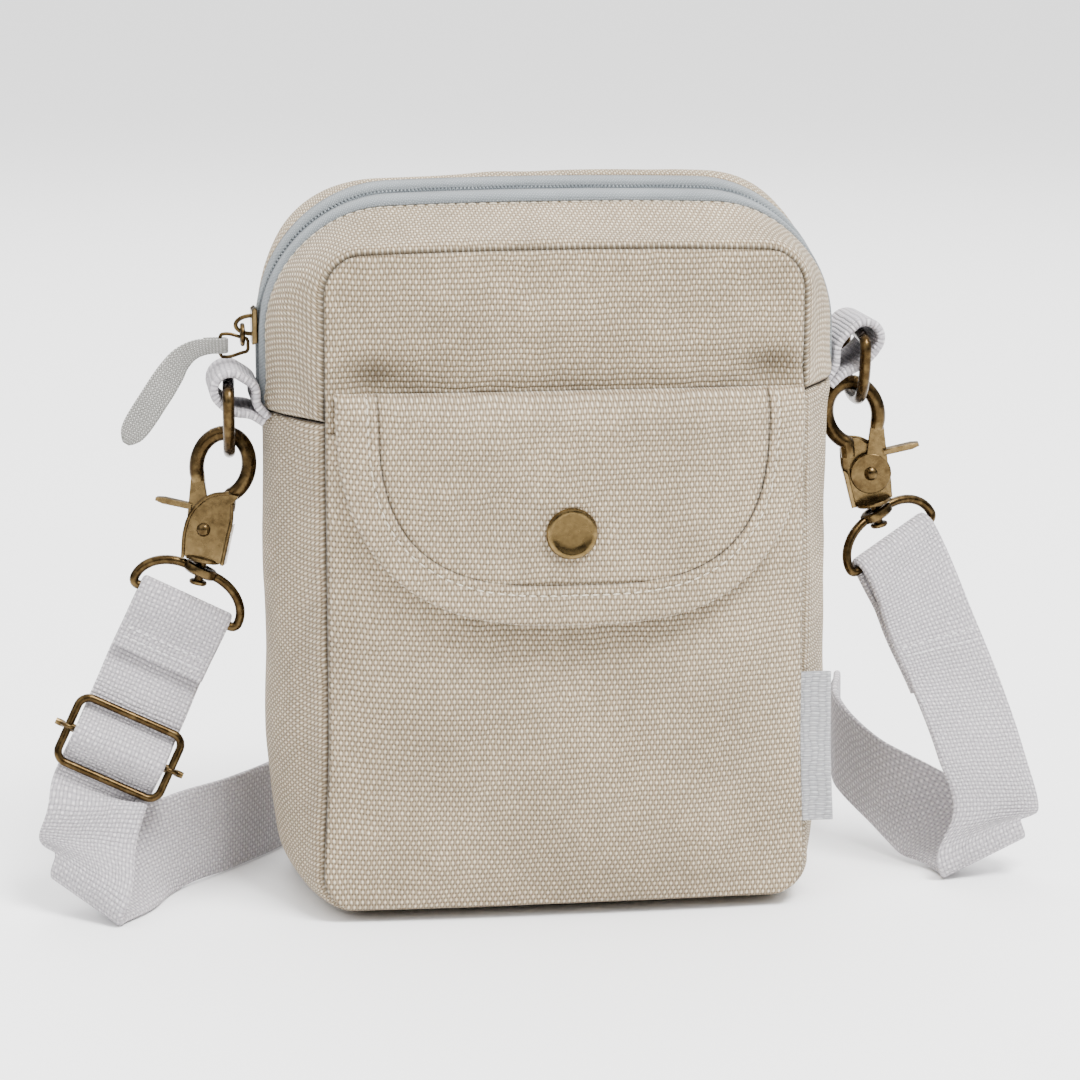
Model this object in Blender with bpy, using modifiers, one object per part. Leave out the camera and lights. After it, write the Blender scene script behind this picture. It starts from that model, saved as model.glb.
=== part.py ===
"""Small canvas crossbody bag with a snapped front pocket, webbing strap and trigger hooks.

Everything is in metres with +Z up.  The origin is the middle of the flat base,
the front faces -Y, and the two ends of the strap hang at -X and +X.
"""
import math

import bmesh
import bpy
import numpy as np
from mathutils import Matrix, Vector

# Body
BODY_HEIGHT = 0.185
BODY_WIDTH = 0.149
BODY_DEPTH = 0.062
BASE_LIFT = 0.003
SHOULDER_RADIUS = 0.033
BASE_RADIUS = 0.012
CROWN = 0.0022
TUCK_HEIGHT = 0.050
SEAM_HEIGHT_LEFT = 0.128
SEAM_HEIGHT_RIGHT = 0.134
CANVAS = 0.0015
GAP = 0.0003
RUNNING_FIT = 0.00009

# Front pocket and its flap
FRONT_BULGE = 0.0035
BACK_BULGE = 0.0050
POCKET_TOP = 0.1255
POCKET_BULGE = 0.0090
FLAP_TOP = 0.1355
FLAP_HEIGHT = 0.0565
FLAP_WIDTH = 0.1175
FLAP_CANVAS = 0.0020
FLAP_ROLL = 0.0085
FLAP_POWER = 2.8
FLAP_CLEAR = 0.0012
BINDING_WIDTH = 0.0100
BINDING_CANVAS = 0.0026
SNAP_X = -0.0020
SNAP_HEIGHT = 0.1020
SNAP_DIAMETER = 0.0128
SNAP_THICKNESS = 0.0018
SNAP_POST_DIAMETER = 0.0040
SNAP_WASHER_DIAMETER = 0.0090

# Zip
CHAIN_WIDTH = 0.0056
CHAIN_THICKNESS = 0.0018
TAPE_WIDTH = 0.0022
TAPE_THICKNESS = 0.0008
TAPE_DROP = 0.0005
SLIDER_HEIGHT = SEAM_HEIGHT_LEFT + 0.0205
SLIDER_LENGTH = 0.0092
SLIDER_WIDTH = 0.0082
SLIDER_THICKNESS = 0.0014
BRIDGE_REACH = 0.0042
BRIDGE_WIRE = 0.0011
LINK_RADIUS = 0.0024
LINK_WIRE = 0.0012
PULL_RING_LENGTH = 0.0069
PULL_RING_NARROW = 0.0019
PULL_RING_WIDE = 0.0029
PULL_FOLD = 0.52
PULL_RING_WIRE = 0.0009
PULL_WIDTH = 0.0075
PULL_LENGTH = 0.0345
PULL_CLOTH = 0.0012
PULL_LEAN = (-1.0, 0.0, 0.0)
PULL_HANG = (-0.55, 0.0, -0.83)

# Side label
LABEL_BOTTOM = 0.0220
LABEL_HEIGHT = 0.0390
LABEL_REACH = 0.0080
LABEL_THICKNESS = 0.0012

# Webbing and its metal
WEB_WIDTH = 0.0250
WEB_THICKNESS = 0.0020
TAB_THICKNESS = 0.0022
TAB_SLACK = 0.0016
D_WIRE = 0.0030
D_WIDTH = 0.0285
D_HEIGHT = 0.0170
STRAP_RING_WIRE = 0.0024
STRAP_RING_WIDTH = 0.0290
STRAP_RING_DROP = 0.0101
STRAP_RING_CORNER = 0.0015
EYE_WIDTH = 0.0090
EYE_DEPTH = 0.0066
EYE_HEIGHT = 0.0030
EYE_BORE = 0.0038

# Trigger hook
HOOK_RING_HEIGHT = 0.0278
HOOK_HOLE_WIDTH = 0.0096
HOOK_HOLE_HEIGHT = 0.0128
HOOK_WIRE = 0.0038
HOOK_PLATE = 0.0013
HOOK_DEPTH = 0.0052
RIVET_HEIGHT = 0.0108
RIVET_OFFSET = -0.0010
RIVET_DIAMETER = 0.0020
RIVET_HEAD = 0.0036
RIVET_HEAD_HEIGHT = 0.0008
DISC_DIAMETER = 0.0108
DISC_THICKNESS = 0.0016
THUMB_REACH = 0.0150
THUMB_HEIGHT = 0.0155
THUMB_THICKNESS = 0.0016
POST_DIAMETER = 0.0024
POST_HEAD = 0.0046
POST_HEAD_HEIGHT = 0.0012
FLANGE = 0.0094
FLANGE_THICKNESS = 0.0010
FLANGE_HEIGHT = 0.0031

# Strap adjuster
ADJUSTER_LENGTH = 0.0283
ADJUSTER_WIDTH = 0.0177
ADJUSTER_WIRE = 0.0021
ADJUSTER_CORNER = 0.0030
SLIDE_BAR = 0.0022
SLIDE_EYE = 0.0036
SLIDE_EYE_LENGTH = 0.0024
WEAVE_REACH = 1.5
SLIDE_REACH = 0.0030

HALF_WIDTH = BODY_WIDTH / 2
HALF_DEPTH = BODY_DEPTH / 2
HALF_WEB = WEB_WIDTH / 2

# Outline of the body at each depth share, from the front seam (-1) to the back seam (1).
# left and right are shares of HALF_WIDTH, top of BODY_HEIGHT, lift of BASE_LIFT,
# shoulder of SHOULDER_RADIUS, base of BASE_RADIUS; tuck narrows the foot of the sides.
SECTION_COLUMNS = ("depth", "left", "right", "top", "lift", "shoulder", "base", "tuck")
SECTIONS = (
    (-1.00, 0.819, 0.800, 0.922, 1.00, 0.30, 0.75, -0.030),
    (-0.78, 0.888, 0.862, 0.936, 0.40, 0.44, 0.90, 0.010),
    (-0.50, 0.950, 0.920, 0.953, 0.00, 0.70, 1.15, 0.040),
    (-0.17, 0.990, 0.952, 0.973, 0.00, 0.95, 1.35, 0.050),
    (0.17, 0.997, 0.958, 0.990, 0.00, 1.00, 1.35, 0.050),
    (0.45, 0.980, 0.948, 0.999, 0.00, 0.90, 1.25, 0.040),
    (0.75, 0.920, 0.895, 0.985, 0.40, 0.56, 1.00, 0.010),
    (1.00, 0.840, 0.825, 0.958, 1.00, 0.36, 0.75, -0.020),
)

# Each side's hanging metal, from the tab's bar down to the strap ring.  tab is the bar's
# place beyond the seam as shares of WEB_WIDTH; wire is where the D ring lies across the
# hook's ring, as a share of HOOK_HOLE_WIDTH; angles are in degrees.
SIDE_COLUMNS = ("name", "side", "tab_out", "tab_up", "tab_depth", "d_turn", "wire", "lean",
                "turn", "ring_tilt", "ring_turn")
SIDES = (
    ("left", -1, 0.34, 0.22, 0.00, 3.0, 0.09, 12.8, -14.0, 26.0, -4.0),
    ("right", 1, 0.39, 0.35, 0.24, 2.4, -0.16, -14.5, 172.0, -28.0, 20.0),
)

# Course of the webbing from the left ring behind the bag to the right ring.
# x is a share of HALF_WIDTH, y of HALF_DEPTH, z of BODY_HEIGHT, or in STRAP_LEFT of the
# height of the left ring's bar; the last three columns are the direction of the edge that
# is the upper one behind the bag.
STRAP_COLUMNS = ("x", "y", "z", "edge_x", "edge_y", "edge_z")
STRAP_LEFT = (
    (-1.585, -0.29, 0.3729, -0.98, 0.06, 0.17),
    (-1.630, -0.43, 0.2324, -0.97, 0.20, 0.12),
)
STRAP_BACK = (
    (-1.330, 0.10, 0.000, -0.10, 0.05, 1.00),
    (-1.130, 0.62, 0.000, 0.00, 0.02, 1.00),
    (-0.930, 1.25, 0.000, 0.00, 0.00, 1.00),
    (-0.640, 2.80, 0.000, 0.00, 0.00, 1.00),
    (-0.120, 4.45, 0.000, 0.00, 0.00, 1.00),
    (0.560, 4.90, 0.000, 0.00, 0.00, 1.00),
    (1.100, 4.10, 0.010, 0.00, 0.00, 1.00),
    (1.260, 2.80, 0.090, 0.00, 0.05, 1.00),
    (1.190, 1.70, 0.150, 0.02, 0.15, 0.98),
    (1.140, 1.20, 0.138, 0.04, 0.25, 0.97),
    (1.230, 0.55, 0.098, 0.06, 0.30, 0.95),
)
STRAP_RIGHT = (
    (1.560, -0.45, 0.085, 0.98, 0.18, 0.02),
    (1.518, -0.32, 0.176, 0.98, 0.18, -0.02),
    (1.448, -0.19, 0.262, 0.98, 0.15, 0.03),
    (1.350, -0.06, 0.360, 0.94, 0.24, 0.23),
)
# The tip of each floor fold, its outer corner, and the radius that the webbing turns through.
FOLD_TIP_LEFT = (-1.520, -0.915, 0.006)
FOLD_CORNER_LEFT = (-1.757, -0.406, 0.056)
FOLD_TIP_RIGHT = (1.362, -0.515, 0.006)
FOLD_CORNER_RIGHT = (1.665, -0.500, 0.062)
FOLD_RADIUS = 0.0048
LEFT_END_LENGTH = 0.0160
RIGHT_END_LENGTH = 0.0420
ADJUSTER_ROOM = 0.00064

COLOURS = {
    "canvas": ((0.47, 0.41, 0.32), 0.95, 0.0),
    "zip_cloth": ((0.36, 0.41, 0.45), 0.85, 0.0),
    "webbing": ((0.62, 0.60, 0.62), 0.90, 0.0),
    "ribbon": ((0.56, 0.55, 0.55), 0.80, 0.0),
    "pull_cloth": ((0.45, 0.43, 0.40), 0.90, 0.0),
    "brass": ((0.34, 0.24, 0.11), 0.35, 1.0),
}


def clear_scene():
    for obj in list(bpy.data.objects):
        bpy.data.objects.remove(obj, do_unlink=True)


def make_material(name):
    colour, roughness, metallic = COLOURS[name]
    material = bpy.data.materials.new(name)
    material.use_nodes = True
    shader = material.node_tree.nodes["Principled BSDF"]
    shader.inputs["Base Color"].default_value = (*colour, 1.0)
    shader.inputs["Roughness"].default_value = roughness
    shader.inputs["Metallic"].default_value = metallic
    return material


clear_scene()
BAG = bpy.data.collections.new("crossbody_tote_bag")
bpy.context.scene.collection.children.link(BAG)
MATERIALS = {name: make_material(name) for name in COLOURS}


def add_object(name, data, material, matrix=None):
    """Put the mesh or curve in the bag's collection with its material and place."""
    obj = bpy.data.objects.new(name, data)
    data.materials.clear()
    data.materials.append(MATERIALS[material])
    BAG.objects.link(obj)
    if matrix is not None:
        obj.matrix_world = matrix
    return obj


def unit(vector):
    vector = np.asarray(vector, float)
    return vector / np.linalg.norm(vector)


def smoothstep(value):
    value = np.clip(value, 0.0, 1.0)
    return value * value * (3 - 2 * value)


def spline(keys, values, at):
    """Smooth curve through rows of values at rising keys, with finite-difference slopes."""
    keys = np.asarray(keys, float)
    values = np.asarray(values, float)
    at = np.atleast_1d(np.asarray(at, float))
    slopes = np.gradient(values, keys, axis=0)
    index = np.clip(np.searchsorted(keys, at, side="right") - 1, 0, len(keys) - 2)
    span = keys[index + 1] - keys[index]
    t = ((at - keys[index]) / span)[:, None]
    span = span[:, None]
    start, end = values[index], values[index + 1]
    a, b = slopes[index] * span, slopes[index + 1] * span
    return ((2 * t**3 - 3 * t**2 + 1) * start + (t**3 - 2 * t**2 + t) * a
            + (3 * t**2 - 2 * t**3) * end + (t**3 - t**2) * b)


def section(depth):
    """Measures of the body's outline at a depth share, as a dictionary in metres."""
    table = np.array(SECTIONS)
    row = dict(zip(SECTION_COLUMNS[1:], spline(table[:, 0], table[:, 1:], depth)[0]))
    return {
        "y": depth * HALF_DEPTH,
        "left": row["left"] * HALF_WIDTH,
        "right": row["right"] * HALF_WIDTH,
        "top": row["top"] * BODY_HEIGHT - CROWN,
        "base": max(row["lift"], 0.0) * BASE_LIFT,
        "shoulder": row["shoulder"] * SHOULDER_RADIUS,
        "foot": row["base"] * BASE_RADIUS,
        "tuck": row["tuck"],
    }


def crown(x, z):
    """Raise the middle of the top a little above its shoulders."""
    rise = CROWN * (1 - np.minimum(np.abs(x) / HALF_WIDTH, 1.0) ** 2)
    return z + rise * smoothstep((z - SEAM_HEIGHT_RIGHT) / (BODY_HEIGHT - SEAM_HEIGHT_RIGHT - CROWN))


def side_x(measures, side, z):
    """Half width of one side at height z, with the foot tucked in and the corners rounded."""
    z = np.asarray(z, float)
    width = measures[side] * (1 - measures["tuck"] * smoothstep(1 - z / TUCK_HEIGHT))
    for radius, into in ((measures["shoulder"], z - (measures["top"] - measures["shoulder"])),
                         (measures["foot"], measures["base"] + measures["foot"] - z)):
        into = np.clip(into, 0, radius)
        width = width - (radius - np.sqrt(np.maximum(radius**2 - into**2, 0)))
    return width


def corner_heights(start, radius, count, rising):
    """Heights along a quarter round, evenly spaced in angle."""
    angle = np.linspace(0, math.pi / 2, count + 1)
    return start + radius * (np.sin(angle) if rising else -np.sin(angle))


def lower_outline(measures):
    """Points from the left cross seam down, along the base and up to the right cross seam."""
    x, z = [], []
    for side, sign, seam in (("left", -1, SEAM_HEIGHT_LEFT), ("right", 1, SEAM_HEIGHT_RIGHT)):
        foot_top = measures["base"] + measures["foot"]
        heights = np.concatenate([np.linspace(seam - GAP, foot_top, 5)[:-1],
                                  corner_heights(foot_top, measures["foot"], 3, False)])
        run = sign * side_x(measures, side, heights)
        if sign > 0:
            heights, run = heights[::-1], run[::-1]
            x.append(np.linspace(x[0][-1], run[0], 4)[1:-1])
            z.append(np.full(2, measures["base"]))
        x.append(run)
        z.append(heights)
    return np.concatenate(x), np.concatenate(z)


def upper_outline(measures):
    """Points from the left cross seam up and over the top to the right cross seam."""
    x, z = [], []
    for side, sign, seam in (("left", -1, SEAM_HEIGHT_LEFT), ("right", 1, SEAM_HEIGHT_RIGHT)):
        spring = measures["top"] - measures["shoulder"]
        heights = np.concatenate([np.linspace(seam, spring, 4)[:-1],
                                  corner_heights(spring, measures["shoulder"], 5, True)])
        run = sign * side_x(measures, side, heights)
        if sign > 0:
            heights, run = heights[::-1], run[::-1]
            x.append(np.linspace(x[0][-1], run[0], 6)[1:-1])
            z.append(np.full(4, measures["top"]))
        x.append(run)
        z.append(heights)
    x, z = np.concatenate(x), np.concatenate(z)
    return x, crown(x, z)


def grid_mesh(name, rows):
    """Mesh of quads over an array of rows of points."""
    rows = np.asarray(rows)
    count, across = rows.shape[:2]
    index = np.arange(count * across).reshape(count, across)
    quads = np.stack([index[:-1, :-1], index[1:, :-1], index[1:, 1:], index[:-1, 1:]], axis=-1)
    mesh = bpy.data.meshes.new(name)
    mesh.from_pydata(rows.reshape(-1, 3).tolist(), [], quads.reshape(-1, 4).tolist())
    mesh.update()
    return mesh


def cloth(name, rows, thickness, material, flip=False, centred=False):
    """A wall of cloth: an open surface thickened inwards, or evenly about the surface."""
    rows = np.asarray(rows)
    obj = add_object(name, grid_mesh(name, rows[::-1] if flip else rows), material)
    shell = obj.modifiers.new("Wall", "SOLIDIFY")
    shell.thickness = thickness
    shell.offset = 0.0 if centred else -1.0
    obj.data.shade_smooth()
    return obj


def body_band(name, outline, start, end, count, thickness, material, drop=0.0):
    """A strip of the body's skin between two depths, dropped inwards by an amount."""
    rows = []
    for y in np.linspace(start, end, count):
        x, z = outline(section(y / HALF_DEPTH))
        tangent = np.stack([np.gradient(x), np.gradient(z)], axis=1)
        tangent /= np.linalg.norm(tangent, axis=1)[:, None]
        inward = np.stack([tangent[:, 1], -tangent[:, 0]], axis=1)
        if outline is lower_outline:
            inward = -inward
        rows.append(np.stack([x + inward[:, 0] * drop, np.full_like(x, y),
                              z + inward[:, 1] * drop], axis=1))
    return cloth(name, rows, thickness, material, flip=outline is upper_outline)


def panel_rows(measures, bottom, top, across=9):
    """Rows of (x, z) that fill the outline between two heights, with an across share u."""
    foot = corner_heights(measures["base"] + measures["foot"], measures["foot"], 3, False)[::-1]
    spring = measures["top"] - measures["shoulder"]
    crest = corner_heights(spring, measures["shoulder"], 3, True)
    middle = np.linspace(foot[-1], spring, 10)[1:-1]
    heights = np.concatenate([foot, middle, crest])
    top = min(top, crest[-1])
    heights = np.concatenate([heights[(heights >= bottom) & (heights < top - GAP)], [top]])
    u = np.linspace(-1, 1, across)
    left, right = -side_x(measures, "left", heights), side_x(measures, "right", heights)
    x = left[:, None] + (right - left)[:, None] * (u + 1) / 2
    z = np.repeat(heights[:, None], across, axis=1)
    return x, crown(x, z)


def cushion(x, z, width_power, height_power):
    """1 in the middle of the front falling to 0 on its seams."""
    middle = (section(-1.0)["top"] + CROWN) / 2
    across = 1 - np.minimum(np.abs(x) / section(-1.0)["left"], 1.0) ** width_power
    up = 1 - np.minimum(np.abs(z - middle) / middle, 1.0) ** height_power
    return across * up


def front_height(x, z):
    """How far the front panel stands before the plane of the front seam."""
    return FRONT_BULGE * cushion(x, z, 3.0, 3.5)


def pocket_height(x, z):
    """How far the pocket stands before the plane of the front seam."""
    rise = np.clip(z / (0.55 * POCKET_TOP), 0, 1)
    across = 1 - np.minimum(np.abs(x) / section(-1.0)["left"], 1.0) ** 3.0
    return CANVAS + GAP + front_height(x, z) + POCKET_BULGE * across * (1 - (1 - rise) ** 2.4)


def flap_height(x, z):
    """Outer face of the flap: over the pocket, rolled back to the front panel at its top."""
    full = pocket_height(x, np.minimum(z, POCKET_TOP)) + FLAP_CLEAR + FLAP_CANVAS
    root = front_height(x, z) + 2 * GAP + FLAP_CANVAS
    into = np.clip((FLAP_TOP - z) / FLAP_ROLL, 0, 1)
    return root + (full - root) * np.sqrt(1 - (1 - into) ** 2)


def front_point(x, z, height):
    return np.stack([x, -HALF_DEPTH - height, z], axis=-1)


def build_body():
    front, back = section(-1.0), section(1.0)
    x, z = panel_rows(front, 0.0, BODY_HEIGHT)
    cloth("front_panel", front_point(x, z, front_height(x, z)), CANVAS, "canvas", flip=True)
    x, z = panel_rows(back, 0.0, BODY_HEIGHT)
    outside = HALF_DEPTH + BACK_BULGE * cushion(x, z, 3.0, 3.5)
    cloth("back_panel", np.stack([x, outside, z], axis=-1), CANVAS, "canvas")
    seam = HALF_DEPTH - CANVAS - 2 * GAP
    body_band("lower_gusset", lower_outline, -seam, seam, 9, CANVAS, "canvas")
    tape_edge = CHAIN_WIDTH / 2 + 2 * GAP
    strip_edge = tape_edge + TAPE_WIDTH + GAP
    body_band("top_strip_front", upper_outline, -seam, -strip_edge, 4, CANVAS, "canvas")
    body_band("top_strip_back", upper_outline, strip_edge, seam, 4, CANVAS, "canvas")
    for name, start, end in (("zip_tape_front", -strip_edge + GAP, -tape_edge),
                             ("zip_tape_back", tape_edge, strip_edge - GAP)):
        body_band(name, upper_outline, start, end, 2, TAPE_THICKNESS, "zip_cloth", TAPE_DROP)
    body_band("zip_chain", upper_outline, -CHAIN_WIDTH / 2, CHAIN_WIDTH / 2, 2,
              CHAIN_THICKNESS, "zip_cloth", -TAPE_DROP)


def build_pocket():
    front = section(-1.0)
    x, z = panel_rows(front, 0.0, POCKET_TOP)
    pocket = cloth("pocket_panel", front_point(x, z, pocket_height(x, z)), CANVAS, "canvas",
                   flip=True)
    return pocket


def flap_outline(shrink, power):
    """Half of the flap's D outline as (half width, height) from its top corner to its foot."""
    roll = np.array([0.0, 0.06, 0.28, 0.62, 1.0]) * FLAP_ROLL / (FLAP_HEIGHT - shrink)
    roll = np.arcsin(roll ** (power / 2))
    angle = np.concatenate([roll, np.linspace(roll[-1], math.pi / 2, 10)[1:]])
    width = (FLAP_WIDTH / 2 - shrink) * np.maximum(np.cos(angle), 0) ** (2 / power)
    return width, FLAP_TOP - (FLAP_HEIGHT - shrink) * np.sin(angle) ** (2 / power)


def build_flap():
    """The flap's field is one surface, and its folded binding runs round the D."""
    power = FLAP_POWER + 0.4
    width, height = (values[:-1] for values in flap_outline(BINDING_WIDTH, power))
    columns = np.linspace(-1, 1, 11)
    x = width[:, None] * columns
    z = np.repeat(height[:, None], len(columns), axis=1)
    flap = cloth("flap", front_point(x, z, flap_height(x, z)), FLAP_CANVAS, "canvas")
    inner = flap_outline(BINDING_WIDTH - 3 * GAP, power)
    outer = flap_outline(0.0, FLAP_POWER)
    share = np.linspace(0, 1, 4)[:, None]
    x = inner[0] + (outer[0] - inner[0]) * share
    z = inner[1] + (outer[1] - inner[1]) * share
    x = np.concatenate([x, -x[:, -2::-1]], axis=1)
    z = np.concatenate([z, z[:, -2::-1]], axis=1)
    raised = flap_height(x, z) + (BINDING_CANVAS - FLAP_CANVAS)
    cloth("flap_binding", front_point(x, z, raised), BINDING_CANVAS, "canvas", flip=True)
    return flap


def mesh_of(obj):
    """The object as the viewport shows it, as a plain mesh in world space, object removed."""
    bpy.context.view_layer.update()
    seen = obj.evaluated_get(bpy.context.evaluated_depsgraph_get())
    mesh = bpy.data.meshes.new_from_object(seen)
    mesh.transform(obj.matrix_world)
    work = bmesh.new()
    work.from_mesh(mesh)
    bmesh.ops.remove_doubles(work, verts=work.verts, dist=0.000001)
    bmesh.ops.recalc_face_normals(work, faces=work.faces)
    work.to_mesh(mesh)
    work.free()
    bpy.data.objects.remove(obj, do_unlink=True)
    return mesh


def combine(base, others, operation):
    """Boolean the other shapes into or out of the base shape and remove them."""
    for other in others:
        step = base.modifiers.new("Join", "BOOLEAN")
        step.operation = operation
        step.object = other
        step.solver = "EXACT"
        mesh = mesh_of_keep(base)
        base.modifiers.clear()
        base.data = mesh
        bpy.data.objects.remove(other, do_unlink=True)
    return base


def mesh_of_keep(obj):
    """The object's evaluated mesh in its own space."""
    bpy.context.view_layer.update()
    seen = obj.evaluated_get(bpy.context.evaluated_depsgraph_get())
    return bpy.data.meshes.new_from_object(seen)


def wire(name, points, diameter, material, closed=False, resolution=2, matrix=None):
    """A round wire through points, with filled ends when it is open."""
    curve = bpy.data.curves.new(name, "CURVE")
    curve.dimensions = "3D"
    curve.bevel_depth = diameter / 2
    curve.bevel_resolution = resolution
    curve.use_fill_caps = not closed
    curve.twist_mode = "MINIMUM"
    strand = curve.splines.new("POLY")
    strand.points.add(len(points) - 1)
    for point, place in zip(strand.points, points):
        point.co = (*place, 1.0)
    strand.use_cyclic_u = closed
    return add_object(name, curve, material, matrix)


def solid_wire(name, points, diameter, material, closed=False, resolution=2):
    """The same wire as a closed mesh, ready to be joined to another shape."""
    rod = wire(name + "_rod", points, diameter, material, closed, resolution)
    return add_object(name, mesh_of(rod), material)


def cylinder(name, radius, length, centre, axis, material, segments=20):
    """A cylinder about an axis through its centre."""
    mesh = bpy.data.meshes.new(name)
    work = bmesh.new()
    bmesh.ops.create_cone(work, cap_ends=True, segments=segments, radius1=radius,
                          radius2=radius, depth=length)
    turn = Vector((0, 0, 1)).rotation_difference(Vector(axis)).to_matrix().to_4x4()
    bmesh.ops.transform(work, matrix=Matrix.Translation(Vector(centre)) @ turn, verts=work.verts)
    work.to_mesh(mesh)
    work.free()
    return add_object(name, mesh, material)


def box(name, size, centre, material):
    mesh = bpy.data.meshes.new(name)
    work = bmesh.new()
    bmesh.ops.create_cube(work, size=1.0)
    matrix = Matrix.Translation(Vector(centre)) @ Matrix.Diagonal((*size, 1.0))
    bmesh.ops.transform(work, matrix=matrix, verts=work.verts)
    work.to_mesh(mesh)
    work.free()
    return add_object(name, mesh, material)


def plate(name, outline, front, back, material):
    """A flat plate in the XZ plane between two depths, from a closed 2D outline."""
    curve = bpy.data.curves.new(name, "CURVE")
    curve.dimensions = "2D"
    curve.fill_mode = "BOTH"
    curve.extrude = (back - front) / 2
    strand = curve.splines.new("POLY")
    strand.points.add(len(outline) - 1)
    for point, (x, z) in zip(strand.points, outline):
        point.co = (x, z, 0.0, 1.0)
    strand.use_cyclic_u = True
    stand = Matrix.Translation((0, (front + back) / 2, 0)) @ Matrix.Rotation(math.pi / 2, 4, "X")
    shape = add_object(name + "_outline", curve, material, stand)
    return add_object(name, mesh_of(shape), material)


def arc_points(centre, radii, start, end, count):
    """Points on an ellipse in the XZ plane, angles in degrees from +X towards +Z."""
    angle = np.radians(np.linspace(start, end, count))
    return [(centre[0] + radii[0] * math.cos(a), 0.0, centre[1] + radii[1] * math.sin(a))
            for a in angle]


def build_snap(flap, pocket):
    """A plain cap on the flap, and the hidden post that holds flap and pocket together."""
    step = 0.002
    here = flap_height(SNAP_X, SNAP_HEIGHT)
    slope = (flap_height(SNAP_X, SNAP_HEIGHT + step) - flap_height(SNAP_X, SNAP_HEIGHT - step))
    normal = unit((0.0, -1.0, -slope / (2 * step)))
    seat = np.array([SNAP_X, -HALF_DEPTH - here, SNAP_HEIGHT])
    cap = cylinder("snap_cap", SNAP_DIAMETER / 2, SNAP_THICKNESS,
                   seat + normal * (2 * GAP + SNAP_THICKNESS / 2), normal, "brass", 28)
    rim = cap.modifiers.new("Rim", "BEVEL")
    rim.width = SNAP_THICKNESS * 0.3
    rim.segments = 2
    depth_flap = FLAP_CANVAS + FLAP_CLEAR + GAP
    washer = CANVAS / 2
    length = depth_flap + CANVAS + 3 * GAP + washer
    post = cylinder("snap_post", SNAP_POST_DIAMETER / 2, length,
                    seat + normal * (GAP - length / 2), normal, "brass", 16)
    foot = cylinder("snap_foot", SNAP_WASHER_DIAMETER / 2, washer,
                    seat + normal * (GAP - length + washer / 2), normal, "brass", 16)
    combine(post, [foot], "UNION")
    for sheet in (flap, pocket):
        hole = cylinder("snap_hole", SNAP_POST_DIAMETER / 2 + GAP, 4 * length,
                        seat - normal * length / 2, normal, "canvas", 16)
        combine(sheet, [hole], "DIFFERENCE")


def build_label():
    """A folded ribbon that stands out of the right front seam."""
    edge = side_x(section(-1.0), "right", np.array([LABEL_BOTTOM, LABEL_BOTTOM + LABEL_HEIGHT]))
    rows = []
    for share in np.linspace(0, 1, 5):
        x = edge + GAP + LABEL_REACH * share
        y = -HALF_DEPTH + 0.0004 * np.sin(share * math.pi)
        rows.append([(x[0], y, LABEL_BOTTOM), (x[1], y, LABEL_BOTTOM + LABEL_HEIGHT)])
    cloth("side_label", rows, LABEL_THICKNESS, "ribbon", flip=True, centred=True)


def rounded_loop(width, height, radius, count=4):
    """Closed rounded rectangle in a plane as (a, b) pairs about its centre."""
    points = []
    for corner, (sa, sb) in enumerate(((1, 1), (-1, 1), (-1, -1), (1, -1))):
        for step in range(count + 1):
            angle = math.pi / 2 * (corner + step / count)
            points.append((sa * (width / 2 - radius) + radius * math.cos(angle),
                           sb * (height / 2 - radius) + radius * math.sin(angle)))
    return points


def tube_loop(name, points, diameter, material, matrix=None):
    """A closed ring of wire."""
    return wire(name, points, diameter, material, True, 2, matrix)


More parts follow.
